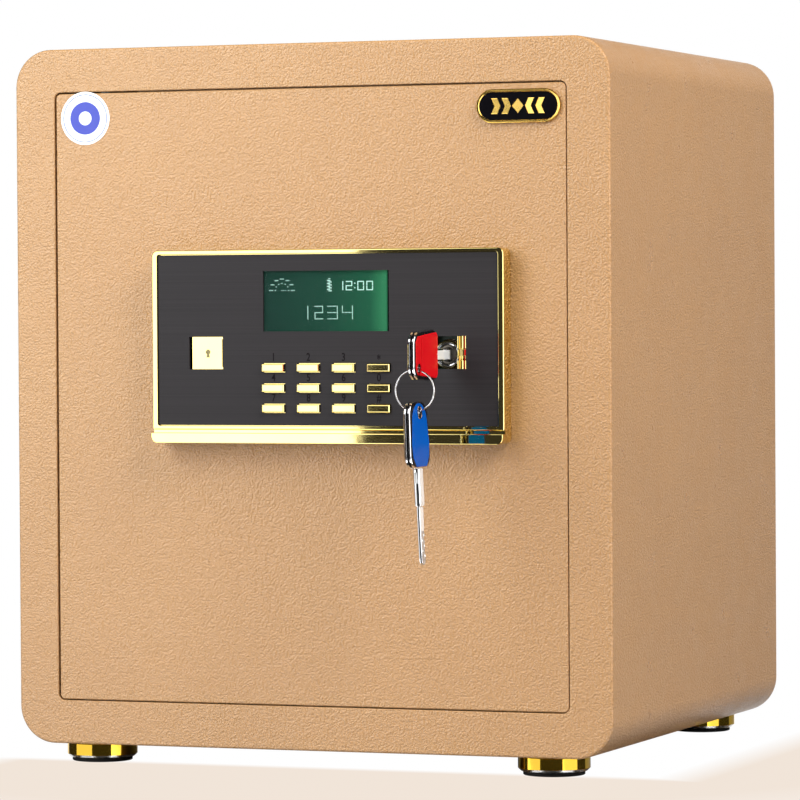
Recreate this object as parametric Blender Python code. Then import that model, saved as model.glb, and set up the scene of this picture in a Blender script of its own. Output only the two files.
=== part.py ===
"""In-room safe: steel cabinet, flush door, keypad panel, motor-driven bolts, key lock.

Metres, +Z up. The safe faces -Y and stands on the ground plane, with the origin
under the middle of the whole object, the inserted key included.

The helpers take "safe coordinates": x across, y back from the front face of the
cabinet (so whatever stands proud of the door has a negative y), and z up from
the underside of the cabinet. place() turns them into world coordinates.
"""

import math

import bmesh
import bpy
from mathutils import Vector

# ---------------------------------------------------------------- driving dimensions

BODY_W = 0.400
BODY_H = 0.443
BODY_D = 0.357
FOOT_HEIGHT = 0.012
KEY_REACH = 0.0725         # how far the inserted key stands out of the front face

WALL = 0.003               # cabinet sheet
CORNER_R = 0.024           # the four long edges of the cabinet
FRONT_EDGE_R = 0.0016
BORDER = 0.027             # front flange around the door
FIT = 0.0003               # gap between pieces that touch

DOOR_GAP = 0.0015
DOOR_THICK = 0.006
DOOR_CORNER_R = 0.003
HINGE_IN = 0.030           # pivot axis in from the door's left edge
HINGE_BACK = 0.011         # pivot axis behind the front face
PIN_R = 0.003
PIN_CLEARANCE = 0.0003

TRAY_DEPTH = 0.0505        # back edge of the door's inner box
TRAY_WALL = 0.002
TRAY_FROM_AXIS = 0.020
TRAY_FROM_EDGE = 0.012
TRAY_FROM_ENDS = 0.0115

PANEL_W = 0.235
PANEL_H = 0.121
PANEL_X = 0.018            # middle of the keypad panel
PANEL_Z = 0.2535
PANEL_PROUD = 0.014
PANEL_R = 0.004
PLATE_SUNK = 0.001         # the face plate sits this far behind the bezel's rim
PLATE_THICK = 0.0015
RIM_SIDE = 0.0038
RIM_TOP = 0.0027
RIM_BOTTOM = 0.011         # rim, groove and grip lip together
GROOVE_Z = 0.0066          # groove's lower edge above the panel's lower edge
GROOVE_H = 0.0018
GROOVE_DEEP = 0.0022
LIP_PROUD = 0.0028         # the grip lip stands this much further out than the rim
LEDGE = 0.0025             # shelf inside the bezel that carries the face plate

LCD_W = 0.0836
LCD_H = 0.0370
LCD_Z = 0.2817

KEY_W = 0.0150
KEY_H = 0.0051
KEY_PITCH_X = 0.0235
KEY_PITCH_Z = 0.01265
KEY_TOP_Z = 0.2402
KEY_PROUD = 0.002          # above the face plate
KEY_SLACK = 0.0003
KEY_COLUMNS = 4
KEY_NAMES = ("1", "2", "3", "star", "4", "5", "6", "0", "7", "8", "9", "hash")

COVER_X = 0.081            # key openings, each side of the panel's middle
COVER_Z = 0.2495
OPENING_W = 0.0230
OPENING_H = 0.0202
COVER_W = 0.0217
COVER_H = 0.0232
COVER_THICK = 0.0018
COVER_END_GAP = 0.0013     # play at the outer end of a closed cover
COVER_OPEN = 0.0168        # how far the right-hand cover stands open

BADGE_X = 0.1414
BADGE_Z = 0.4006
BADGE_W = 0.0545
BADGE_H = 0.0210
BADGE_T = 0.002

LOCK_X = 0.097
LOCK_Z = 0.2482
LOCK_R = 0.0087
LOCK_BORE_R = 0.0063
LOCK_FRONT = -0.0090
LOCK_BACK = 0.0320
PLUG_R = 0.0060
PLUG_FRONT = -0.0070
PLUG_BACK = 0.0330

BOW_L = 0.040
BOW_W = 0.032
BOW_T = 0.0054
BOW_R = 0.0085
COLLAR_L = 0.0234
COLLAR_W = 0.008
COLLAR_T = 0.0045
BLADE_L = 0.035
BLADE_W = 0.007
BLADE_T = 0.0022
BOW_HOLE_R = 0.00275
RED_HOLE = (0.0065, -0.0078)   # along the bow from its outer end, and off its middle line
SPARE_HOLE = (0.0065, 0.0)
RING_R = 0.0120
SPARE_LEAN = math.radians(2.8)  # the hanging key's tip swings this far to the free side
RING_WIRE_R = 0.00085

BOLT_R = 0.009
BOLT_Y = 0.028
BOLT_TRAVEL = 0.024
BOLT_HEIGHTS = (0.110, 0.222, 0.334)
BAR_X = (0.116, 0.1237)
BAR_Y = (0.022, 0.034)
RACK_Y = (0.0245, 0.0305)
GEAR_MODULE = 0.00125
GEAR_TEETH = 16
GEAR_X = 0.080
GEAR_Z = 0.1705

TOOTH_TIP = 0.00040        # half widths of the gear's teeth
TOOTH_ROOT = 0.00100
RACK_TIP = 0.00035         # half widths of the rack's teeth
RACK_ROOT = 0.00120
HUB_R = 0.003

SHELF_Z = 0.222
SHELF_LIP = 0.014
ANCHOR_X = 0.110           # bolt holes in the back and in the floor
ANCHOR_R = 0.0055
FOOT_X = 0.1535
FOOT_IN = 0.0245           # foot axis in from the front and the back
CUP_R = 0.0225
PAD_R = 0.0193

BATTERY_X = (-0.106, -0.050)
BATTERY_Z = (0.060, 0.128)
BATTERY_Y = (0.030, 0.0493)
CELL_R = 0.007
CELL_L = 0.049
CELL_PITCH = 0.0158
CELL_COUNT = 4
RESET_R = 0.004

# ---------------------------------------------------------------- derived dimensions

RING_Y = -KEY_REACH + RED_HOLE[0]
OVERHANG = max(KEY_REACH, BOW_W / 2 - RING_Y)      # the spare key's bow reaches out furthest
FRONT_Y = (OVERHANG - BODY_D) / 2
OPEN_X = BODY_W / 2 - BORDER
OPEN_Z = (BORDER, BODY_H - BORDER)
DOOR_X = OPEN_X - DOOR_GAP
DOOR_Z = (OPEN_Z[0] + DOOR_GAP, OPEN_Z[1] - DOOR_GAP)
HINGE_X = -DOOR_X + HINGE_IN
TRAY_X = (HINGE_X + TRAY_FROM_AXIS, DOOR_X - TRAY_FROM_EDGE)
TRAY_Z = (DOOR_Z[0] + TRAY_FROM_ENDS, DOOR_Z[1] - TRAY_FROM_ENDS)
TRAY_FRONT = DOOR_THICK + FIT
COVER_FRONT = TRAY_DEPTH + FIT
COVER_BACK = COVER_FRONT + 0.0015
PANEL_X0 = PANEL_X - PANEL_W / 2
PANEL_X1 = PANEL_X + PANEL_W / 2
PANEL_Z0 = PANEL_Z - PANEL_H / 2
PANEL_Z1 = PANEL_Z + PANEL_H / 2
WELL = (PANEL_X0 + RIM_SIDE, PANEL_X1 - RIM_SIDE, PANEL_Z0 + RIM_BOTTOM, PANEL_Z1 - RIM_TOP)
PLATE_FRONT = -PANEL_PROUD + PLATE_SUNK
PLATE_BACK = PLATE_FRONT + PLATE_THICK
SLIDE_FRONT = PLATE_BACK + FIT
RED_HOLE_Z = LOCK_Z + RED_HOLE[1]
RING_DROP = RING_R - math.sqrt(RING_R ** 2 - (BOW_T / 2) ** 2)
RING_TOP_Z = RED_HOLE_Z - BOW_HOLE_R + FIT + RING_WIRE_R + RING_DROP
RING_Z = RING_TOP_Z - RING_R
SPARE_HOLE_Z = RING_Z - RING_R + RING_DROP + RING_WIRE_R + FIT - BOW_HOLE_R
GEAR_R = GEAR_MODULE * GEAR_TEETH / 2
ADDENDUM = GEAR_MODULE
DEDENDUM = 1.25 * GEAR_MODULE
RESET_AT = (-0.095, COVER_BACK, 0.330)

ROUND = 28                 # sides of a small round piece
CORNER_STEPS = 5
SMOOTH_ANGLE = math.radians(35)

# ---------------------------------------------------------------- helpers


def place(x, y, z):
    """World position of a point given in safe coordinates."""
    return Vector((x, FRONT_Y + y, FOOT_HEIGHT + z))


def material(name, colour, roughness, metallic=0.0):
    """A plain Principled material in one colour."""
    mat = bpy.data.materials.new(name)
    mat.use_nodes = True
    shader = mat.node_tree.nodes["Principled BSDF"]
    shader.inputs["Base Color"].default_value = (*colour, 1.0)
    shader.inputs["Roughness"].default_value = roughness
    shader.inputs["Metallic"].default_value = metallic
    return mat


def pivot(name, at, parent=None):
    """An empty on a joint's axis, which carries the pieces that move with it."""
    empty = bpy.data.objects.new(name, None)
    empty.empty_display_size = 0.01
    bpy.context.scene.collection.objects.link(empty)
    attach(empty, at, parent)
    return empty


def attach(obj, at, parent):
    """Put an object at a point in safe coordinates, under a parent that isn't turned."""
    obj["at"] = list(place(*at))
    obj.location = Vector(obj["at"])
    if parent is not None:
        obj.parent = parent
        obj.location -= Vector(parent["at"])


def piece(name, bm, mat, at, parent=None):
    """Finish a mesh that was drawn in safe coordinates, with its origin at a point."""
    bmesh.ops.recalc_face_normals(bm, faces=bm.faces)
    bmesh.ops.translate(bm, verts=bm.verts, vec=-Vector(at))
    mesh = bpy.data.meshes.new(name)
    bm.to_mesh(mesh)
    bm.free()
    mesh.shade_smooth()
    mesh.set_sharp_from_angle(angle=SMOOTH_ANGLE)
    obj = bpy.data.objects.new(name, mesh)
    bpy.context.scene.collection.objects.link(obj)
    attach(obj, at, parent)
    if mat is not None:
        mesh.materials.append(mat)
    return obj


def boolean(target, tool_mesh, operation, name):
    """Cut a tool out of a piece, or join it on; the tool stays as a hidden guide."""
    tool = piece(name, tool_mesh, None, (0.0, 0.0, 0.0))
    if target.parent is not None:
        attach(tool, (0.0, 0.0, 0.0), target.parent)
    tool.hide_render = True
    tool.display_type = "WIRE"
    modifier = target.modifiers.new(name, "BOOLEAN")
    modifier.operation = operation
    modifier.object = tool
    modifier.solver = "EXACT"


def add_loft(bm, loops, closed=False):
    """Skin a row of equal loops. Its ends are capped, or joined when it is closed."""
    rows = [[bm.verts.new(point) for point in loop] for loop in loops]
    pairs = list(zip(rows, rows[1:]))
    if closed:
        pairs.append((rows[-1], rows[0]))
    for near, far in pairs:
        for i in range(len(near)):
            j = (i + 1) % len(near)
            bm.faces.new((near[i], near[j], far[j], far[i]))
    if not closed:
        bm.faces.new(rows[0])
        bm.faces.new(rows[-1])


def loft(loops, closed=False):
    """A new mesh skinned over a row of loops."""
    bm = bmesh.new()
    add_loft(bm, loops, closed)
    return bm


def rounded(x0, x1, z0, z1, radius=0.0, steps=CORNER_STEPS):
    """Outline of a rectangle in x and z with round corners, anticlockwise."""
    if radius <= 0.0:
        return [(x0, z0), (x1, z0), (x1, z1), (x0, z1)]
    centres = (
        (x1 - radius, z0 + radius, -90),
        (x1 - radius, z1 - radius, 0),
        (x0 + radius, z1 - radius, 90),
        (x0 + radius, z0 + radius, 180),
    )
    points = []
    for cx, cz, start in centres:
        for step in range(steps + 1):
            angle = math.radians(start + 90 * step / steps)
            points.append((cx + radius * math.cos(angle), cz + radius * math.sin(angle)))
    return points


def inset(x0, x1, z0, z1, radius, by):
    """The same rounded outline, shrunk on every side."""
    return rounded(x0 + by, x1 - by, z0 + by, z1 - by, radius - by)


def at_y(outline, y):
    """Lift a flat outline in x and z into space."""
    return [(x, y, z) for x, z in outline]


def add_box(bm, x0, x1, y0, y1, z0, z1):
    """Add a plain box between two corners."""
    outline = rounded(x0, x1, z0, z1)
    add_loft(bm, [at_y(outline, y0), at_y(outline, y1)])


def boxes(*corners):
    """A new mesh of separate boxes, each given as x0, x1, y0, y1, z0, z1."""
    bm = bmesh.new()
    for corner in corners:
        add_box(bm, *corner)
    return bm


def circle(axis, centre, radius, sides):
    """A circle about a line parallel to X, Y or Z."""
    points = []
    for i in range(sides):
        angle = 2 * math.pi * i / sides
        u = radius * math.cos(angle)
        v = radius * math.sin(angle)
        offset = {"X": (0, u, v), "Y": (u, 0, v), "Z": (u, v, 0)}[axis]
        points.append(tuple(c + o for c, o in zip(centre, offset)))
    return points


def add_turned(bm, axis, centre, profile, sides=ROUND, closed=False):
    """Turn a profile of (distance along the axis, radius) about that axis."""
    along = "XYZ".index(axis)
    loops = []
    for distance, radius in profile:
        middle = list(centre)
        middle[along] += distance
        loops.append(circle(axis, middle, radius, sides))
    add_loft(bm, loops, closed)


def turned(axis, centre, profile, sides=ROUND, closed=False):
    """A new turned mesh."""
    bm = bmesh.new()
    add_turned(bm, axis, centre, profile, sides, closed)
    return bm


# ---------------------------------------------------------------- cabinet


def outer_shell(mat):
    """Bent sheet body with rounded long edges, and the front flange around the door."""
    body = (-BODY_W / 2, BODY_W / 2, 0.0, BODY_H, CORNER_R)
    opening = rounded(-OPEN_X, OPEN_X, *OPEN_Z, DOOR_CORNER_R + DOOR_GAP)
    quarter = FRONT_EDGE_R * (1 - math.cos(math.radians(45)))
    loops = [
        at_y(inset(*body, FRONT_EDGE_R), 0.0),
        at_y(inset(*body, quarter), quarter),
        at_y(rounded(*body), FRONT_EDGE_R),
        at_y(rounded(*body), BODY_D - FRONT_EDGE_R),
        at_y(inset(*body, FRONT_EDGE_R), BODY_D),
        at_y(inset(*body, WALL), BODY_D),
        at_y(inset(*body, WALL), WALL),
        at_y(opening, WALL),
        at_y(opening, 0.0),
    ]
    shell = piece("outer_shell", loft(loops, closed=True), mat, (0, 0, 0))
    holes = bmesh.new()
    for side in (-1, 1):
        centre = (side * ANCHOR_X, BODY_D / 2, 0.0)
        add_turned(holes, "Z", centre, [(-0.01, ANCHOR_R), (0.01, ANCHOR_R)])
    boolean(shell, holes, "DIFFERENCE", "floor_anchor_holes")


def back_panel(mat):
    """Rear sheet, set inside the body, with two holes for wall anchors."""
    by = WALL + FIT
    outline = inset(-BODY_W / 2, BODY_W / 2, 0.0, BODY_H, CORNER_R, by)
    loops = [at_y(outline, BODY_D - WALL), at_y(outline, BODY_D)]
    panel = piece("back_panel", loft(loops), mat, (0, BODY_D, 0))
    holes = bmesh.new()
    for side in (-1, 1):
        centre = (side * ANCHOR_X, BODY_D, BODY_H / 2)
        add_turned(holes, "Y", centre, [(-0.01, ANCHOR_R), (0.01, ANCHOR_R)])
    boolean(panel, holes, "DIFFERENCE", "wall_anchor_holes")


def door_jamb(mat):
    """C-shaped frame welded behind the flange: strike, door stops and hinge lugs.

    Its hinge side stays open, because the door's short edge swings inwards there.
    """
    front = WALL + FIT
    stop_y = (DOOR_THICK + 0.0006, DOOR_THICK + 0.0031)
    strip_x = (HINGE_X - 0.0135, OPEN_X + 0.0042)
    low = (OPEN_Z[0] - 0.0065, OPEN_Z[0] - 0.0015)
    high = (OPEN_Z[1] + 0.0015, OPEN_Z[1] + 0.0065)
    strike = (OPEN_X + 0.0012, OPEN_X + 0.0042, front, 0.052, low[0], high[1])
    jamb = piece("door_jamb", boxes(strike), mat, (OPEN_X, front, BODY_H / 2))
    strips = {
        "jamb_strips": [
            (strip_x[0], strip_x[1] - 0.0005, front, 0.022, *low),
            (strip_x[0], strip_x[1] - 0.0005, front, 0.022, *high),
        ],
        "jamb_end_stops": [
            (HINGE_X + 0.0235, OPEN_X + 0.002, *stop_y, low[1] - 0.001, DOOR_Z[0] + 0.003),
            (HINGE_X + 0.0235, OPEN_X + 0.002, *stop_y, DOOR_Z[1] - 0.003, high[0] + 0.001),
        ],
        "jamb_side_stop": [
            (OPEN_X - 0.0045, OPEN_X + 0.002, *stop_y, low[1] - 0.001, high[0] + 0.001),
        ],
    }
    for name, corners in strips.items():
        boolean(jamb, boxes(*corners), "UNION", name)
    holes = bmesh.new()
    for z in BOLT_HEIGHTS:
        centre = (OPEN_X, BOLT_Y, z)
        add_turned(holes, "X", centre, [(-0.01, BOLT_R + 0.001), (0.02, BOLT_R + 0.001)])
    for z in (low[0], high[1]):
        centre = (HINGE_X, HINGE_BACK, z)
        add_turned(holes, "Z", centre, [(-0.01, PIN_R + PIN_CLEARANCE), (0.01, PIN_R + PIN_CLEARANCE)])
    boolean(jamb, holes, "DIFFERENCE", "jamb_holes")


def hinge_pins(mat):
    """Two short pins, one in each lug, that the door's knuckles turn on."""
    for name, far, near in (
        ("hinge_pin_top", OPEN_Z[1] + 0.0065, DOOR_Z[1] - 0.016),
        ("hinge_pin_bottom", OPEN_Z[0] - 0.0065, DOOR_Z[0] + 0.016),
    ):
        low, high = sorted((far, near))
        centre = (HINGE_X, HINGE_BACK, low)
        piece(name, turned("Z", centre, [(0, PIN_R), (high - low, PIN_R)], 20), mat, centre)


def feet(gold, rubber):
    """Gold-plated cups under the corners, each with a rubber pad pressed into it."""
    bottom = -0.0095
    cup = [
        (-FIT, CUP_R), (bottom + 0.0018, CUP_R), (bottom, CUP_R - 0.0018),
        (bottom, PAD_R + FIT), (bottom + 0.001, PAD_R + FIT),
    ]
    pad = [(-FOOT_HEIGHT, PAD_R - 0.0006), (-FOOT_HEIGHT + 0.0006, PAD_R), (bottom + 0.0007, PAD_R)]
    for side, x in (("l", -FOOT_X), ("r", FOOT_X)):
        for end, y in (("f", FOOT_IN), ("b", BODY_D - FOOT_IN)):
            at = (x, y, 0.0)
            piece(f"foot_{end}{side}", turned("Z", at, cup, 36), gold, at)
            piece(f"foot_pad_{end}{side}", turned("Z", at, pad, 36), rubber, at)


def shelf(mat):
    """Sheet shelf with a turned-down lip along each wall."""
    half = BODY_W / 2 - WALL - 2 * FIT
    low = SHELF_Z - SHELF_LIP
    t = 0.0015
    profile = [
        (-half, SHELF_Z), (half, SHELF_Z), (half, low), (half - t, low),
        (half - t, SHELF_Z - t), (-half + t, SHELF_Z - t), (-half + t, low), (-half, low),
    ]
    loops = [at_y(profile, 0.078), at_y(profile, BODY_D - WALL - 0.004)]
    piece("shelf", loft(loops), mat, (0, 0.078, SHELF_Z))


def floor_mat(mat):
    """Felt mat that covers the floor and the floor anchors."""
    outline = rounded(-0.176, 0.176, WALL + FIT, WALL + FIT + 0.002)
    loops = [at_y(outline, 0.026), at_y(outline, BODY_D - WALL - 0.006)]
    piece("floor_mat", loft(loops), mat, (0, 0.026, WALL))


# ---------------------------------------------------------------- door


def door_plate(mat, hinge):
    """Thick flush plate with two knuckles on its back for the pins."""
    plate = (-DOOR_X, DOOR_X, *DOOR_Z, DOOR_CORNER_R)
    edge = 0.0006
    loops = [
        at_y(inset(*plate, edge), 0.0),
        at_y(rounded(*plate), edge),
        at_y(rounded(*plate), DOOR_THICK),
    ]
    door = piece("door_plate", loft(loops), mat, (HINGE_X, HINGE_BACK, 0), hinge)
    knuckle = (HINGE_X - 0.0085, HINGE_X + 0.0105, DOOR_THICK - 0.001, 0.0195)
    knuckles = boxes(
        (*knuckle, DOOR_Z[0] + 0.001, DOOR_Z[0] + 0.0195),
        (*knuckle, DOOR_Z[1] - 0.0195, DOOR_Z[1] - 0.001),
    )
    boolean(door, knuckles, "UNION", "door_knuckles")
    holes = bmesh.new()
    for z in (DOOR_Z[0], DOOR_Z[1] - 0.017):
        centre = (HINGE_X, HINGE_BACK, z)
        add_turned(holes, "Z", centre, [(-0.002, PIN_R + PIN_CLEARANCE), (0.019, PIN_R + PIN_CLEARANCE)])
    for x in (LOCK_X, 2 * PANEL_X - LOCK_X):
        add_turned(holes, "Y", (x, 0, LOCK_Z), [(-0.01, LOCK_R + FIT), (0.02, LOCK_R + FIT)])
    add_turned(holes, "Y", (PANEL_X, 0, 0.215), [(-0.01, 0.006), (0.02, 0.006)])
    boolean(door, holes, "DIFFERENCE", "door_holes")


def dead_bar(mat, hinge):
    """Fixed bar along the hinge side that grips behind the flange if the pins are cut."""
    outline = rounded(HINGE_X - 0.039, HINGE_X + 0.017, 0.060, 0.384, 0.004)
    loops = [at_y(outline, DOOR_THICK + FIT), at_y(outline, DOOR_THICK + FIT + 0.006)]
    piece("dead_bar", loft(loops), mat, (HINGE_X, HINGE_BACK, 0.222), hinge)


def door_tray(mat, hinge):
    """Four bent walls on the back of the door that house the mechanism."""
    outer = (*TRAY_X, *TRAY_Z, 0.004)
    loops = [
        at_y(rounded(*outer), TRAY_FRONT),
        at_y(rounded(*outer), TRAY_DEPTH),
        at_y(inset(*outer, TRAY_WALL), TRAY_DEPTH),
        at_y(inset(*outer, TRAY_WALL), TRAY_FRONT),
    ]
    tray = piece("door_tray", loft(loops, closed=True), mat, (HINGE_X, HINGE_BACK, 0), hinge)
    holes = bmesh.new()
    for z in BOLT_HEIGHTS:
        centre = (TRAY_X[1], BOLT_Y, z)
        add_turned(holes, "X", centre, [(-0.01, BOLT_R + 0.0005), (0.01, BOLT_R + 0.0005)])
    boolean(tray, holes, "DIFFERENCE", "tray_bolt_holes")


def door_back_cover(mat, hinge):
    """Flat cover screwed on the tray, with the battery bay and the reset button in it."""
    outline = rounded(TRAY_X[0], TRAY_X[1], *TRAY_Z, 0.004)
    loops = [at_y(outline, COVER_FRONT), at_y(outline, COVER_BACK)]
    cover = piece("door_back_cover", loft(loops), mat, (HINGE_X, HINGE_BACK, 0), hinge)
    holes = boxes((*BATTERY_X, COVER_FRONT - 0.002, COVER_BACK + 0.002, *BATTERY_Z))
    add_turned(holes, "Y", RESET_AT, [(-0.005, RESET_R + 0.0004), (0.005, RESET_R + 0.0004)])
    boolean(cover, holes, "DIFFERENCE", "cover_holes")


def battery_bay(plastic, label, hinge):
    """Open box behind the cover with four cells lying in it, and its sliding lid."""
    box = (BATTERY_X[0] - 0.002, BATTERY_X[1] + 0.002, BATTERY_Z[0] - 0.002, BATTERY_Z[1] + 0.002)
    outer = rounded(*box)
    inner = rounded(box[0] + 0.0015, box[1] - 0.0015, box[2] + 0.0015, box[3] - 0.0015)
    loops = [
        at_y(outer, BATTERY_Y[0]), at_y(outer, BATTERY_Y[1]),
        at_y(inner, BATTERY_Y[1]), at_y(inner, BATTERY_Y[0] + 0.0015),
    ]
    piece("battery_holder", loft(loops), plastic, (box[0], BATTERY_Y[0], box[2]), hinge)
    first = (BATTERY_Z[0] + BATTERY_Z[1]) / 2 - CELL_PITCH * (CELL_COUNT - 1) / 2
    start = (BATTERY_X[0] + BATTERY_X[1] - CELL_L) / 2
    profile = [
        (0.0, CELL_R - 0.0006), (0.0006, CELL_R), (CELL_L - 0.0018, CELL_R),
        (CELL_L - 0.0012, CELL_R - 0.0006), (CELL_L - 0.0012, 0.0027), (CELL_L, 0.0027),
    ]
    for i in range(CELL_COUNT):
        at = (start, BATTERY_Y[0] + 0.0018 + CELL_R, first + i * CELL_PITCH)
        piece(f"battery_cell_{i + 1}", turned("X", at, profile, 20), label, at, hinge)


def battery_cover(mat, hinge):
    """Lid that slides down off the battery bay."""
    outline = rounded(BATTERY_X[0] - 0.004, BATTERY_X[1] + 0.004, BATTERY_Z[0] - 0.004, BATTERY_Z[1] + 0.006, 0.002)
    front = COVER_BACK + FIT
    middle = sum(BATTERY_X) / 2
    grip = rounded(middle - 0.010, middle + 0.010, BATTERY_Z[1] - 0.008, BATTERY_Z[1] - 0.005)
    lid = piece("battery_cover", loft([at_y(outline, front), at_y(outline, front + 0.002)]),
                mat, (middle, front, BATTERY_Z[0]), hinge)
    rib = loft([at_y(grip, front + 0.001), at_y(grip, front + 0.0032)])
    boolean(lid, rib, "UNION", "battery_cover_rib")


def reset_button(mat, hinge):
    """Small button on the inside of the door, pressed to set a new code."""
    profile = [
        (-0.0035, RESET_R + 0.0015), (-0.0025, RESET_R + 0.0015), (-0.0025, RESET_R),
        (0.0022, RESET_R), (0.0028, RESET_R - 0.0006),
    ]
    piece("reset_button", turned("Y", RESET_AT, profile, 20), mat, RESET_AT, hinge)


# ---------------------------------------------------------------- keypad panel


def panel_bezel(mat, hinge):
    """Gold housing with a raised rim, a shadow groove and a finger-grip lip below."""
    outer = (PANEL_X0, PANEL_X1, PANEL_Z0, PANEL_Z1, PANEL_R)
    well = (*WELL, 0.0015)
    ledge = inset(*WELL, LEDGE + 0.001, LEDGE)
    ledge_front = PLATE_BACK + FIT
    rim = 0.0008
    loops = [
        at_y(inset(*outer, rim), -PANEL_PROUD),
        at_y(rounded(*outer), -PANEL_PROUD + rim),
        at_y(rounded(*outer), -FIT),
        at_y(rounded(*well), -FIT),
        at_y(rounded(*well), ledge_front + 0.0015),
        at_y(ledge, ledge_front + 0.0015),
        at_y(ledge, ledge_front),
        at_y(rounded(*well), ledge_front),
        at_y(rounded(*well), -PANEL_PROUD),
    ]
    bezel = piece("panel_bezel", loft(loops, closed=True), mat, (PANEL_X, 0, PANEL_Z), hinge)
    low = PANEL_Z0 + GROOVE_Z
    groove = boxes((PANEL_X0 - 0.01, PANEL_X1 + 0.01, -PANEL_PROUD - 0.01, -PANEL_PROUD + GROOVE_DEEP,
                    low, low + GROOVE_H))
    boolean(bezel, groove, "DIFFERENCE", "panel_groove")
    front = -PANEL_PROUD - LIP_PROUD
    lip = [
        at_y(lip_outline(rim), front),
        at_y(lip_outline(0.0), front + rim),
        at_y(lip_outline(0.0), -PANEL_PROUD + GROOVE_DEEP / 2),
    ]
    boolean(bezel, loft(lip), "UNION", "panel_lip")


def lip_outline(by):
    """Outline of the grip lip, drawn in by a distance: rounded below and square above."""
    height = GROOVE_Z - 2 * by
    low = PANEL_Z0 + by
    left = PANEL_X0 + by
    right = PANEL_X1 - by
    whole = rounded(left, right, low, low + 2 * height + PANEL_R, PANEL_R - by)
    points = [p for p in whole if p[1] < low + height] + [(right, low + height), (left, low + height)]
    middle = low + height / 2
    return sorted(points, key=lambda p: math.atan2(p[1] - middle, p[0] - PANEL_X))


def key_positions():
    """Name and middle of each keypad key."""
    for i, name in enumerate(KEY_NAMES):
        row, column = divmod(i, KEY_COLUMNS)
        x = PANEL_X + (column - (KEY_COLUMNS - 1) / 2) * KEY_PITCH_X
        yield name, x, KEY_TOP_Z - row * KEY_PITCH_Z


def face_plate(mat, hinge):
    """Brushed plate with the display window, the key openings and the key holes."""
    outline = inset(*WELL, 0.0015, FIT)
    loops = [at_y(outline, PLATE_FRONT), at_y(outline, PLATE_BACK)]
    plate = piece("face_plate", loft(loops), mat, (PANEL_X, PLATE_FRONT, PANEL_Z), hinge)
    through = (PLATE_FRONT - 0.005, PLATE_BACK + 0.005)
    holes = boxes((PANEL_X - LCD_W / 2 - FIT, PANEL_X + LCD_W / 2 + FIT, *through,
                   LCD_Z - LCD_H / 2 - FIT, LCD_Z + LCD_H / 2 + FIT))
    for side in (-1, 1):
        x = PANEL_X + side * COVER_X
        add_box(holes, x - OPENING_W / 2, x + OPENING_W / 2, *through,
                COVER_Z - OPENING_H / 2, COVER_Z + OPENING_H / 2)
    half_w = KEY_W / 2 + KEY_SLACK
    half_h = KEY_H / 2 + KEY_SLACK
    for _, x, z in key_positions():
        add_box(holes, x - half_w, x + half_w, *through, z - half_h, z + half_h)
    boolean(plate, holes, "DIFFERENCE", "face_plate_holes")


def keypad_keys(mat, hinge):
    """Twelve separate caps, each with a retaining flange and a stem to its switch."""
    for name, x, z in key_positions():
        sections = [
            (KEY_W, KEY_H, PLATE_FRONT - KEY_PROUD),
            (KEY_W, KEY_H, SLIDE_FRONT),
            (KEY_W + 0.002, KEY_H + 0.002, SLIDE_FRONT),
            (KEY_W + 0.002, KEY_H + 0.002, SLIDE_FRONT + 0.001),
            (0.006, 0.003, SLIDE_FRONT + 0.001),
            (0.006, 0.003, -0.0062),
        ]
        loops = [at_y(rounded(x - w / 2, x + w / 2, z - h / 2, z + h / 2), y) for w, h, y in sections]
        piece(f"keypad_key_{name}", loft(loops), mat, (x, PLATE_FRONT, z), hinge)


def display(glass, module, hinge):
    """Window flush in the plate, and the display module behind it."""
    window = rounded(PANEL_X - LCD_W / 2, PANEL_X + LCD_W / 2, LCD_Z - LCD_H / 2, LCD_Z + LCD_H / 2)
    front = PLATE_FRONT + 0.0007
    loops = [at_y(window, front), at_y(window, front + 0.001)]
    piece("display_window", loft(loops), glass, (PANEL_X, front, LCD_Z), hinge)
    back = boxes((PANEL_X - LCD_W / 2 - 0.002, PANEL_X + LCD_W / 2 + 0.002, SLIDE_FRONT, -0.0060,
                  LCD_Z - LCD_H / 2 - 0.002, LCD_Z + LCD_H / 2 + 0.002))
    piece("display_module", back, module, (PANEL_X, SLIDE_FRONT, LCD_Z), hinge)


def circuit_board(mat, hinge):
    """Board behind the keys, cleared around both lock cylinders."""
    outline = rounded(WELL[0] + 0.003, WELL[1] - 0.003, WELL[2] + 0.003, WELL[3] - 0.003)
    loops = [at_y(outline, -0.0042), at_y(outline, -0.0026)]
    board = piece("circuit_board", loft(loops), mat, (PANEL_X, -0.0042, PANEL_Z), hinge)
    holes = bmesh.new()
    for x in (LOCK_X, 2 * PANEL_X - LOCK_X):
        add_turned(holes, "Y", (x, 0, LOCK_Z), [(-0.01, LOCK_R + 0.001), (0.01, LOCK_R + 0.001)])
    boolean(board, holes, "DIFFERENCE", "board_holes")


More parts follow.
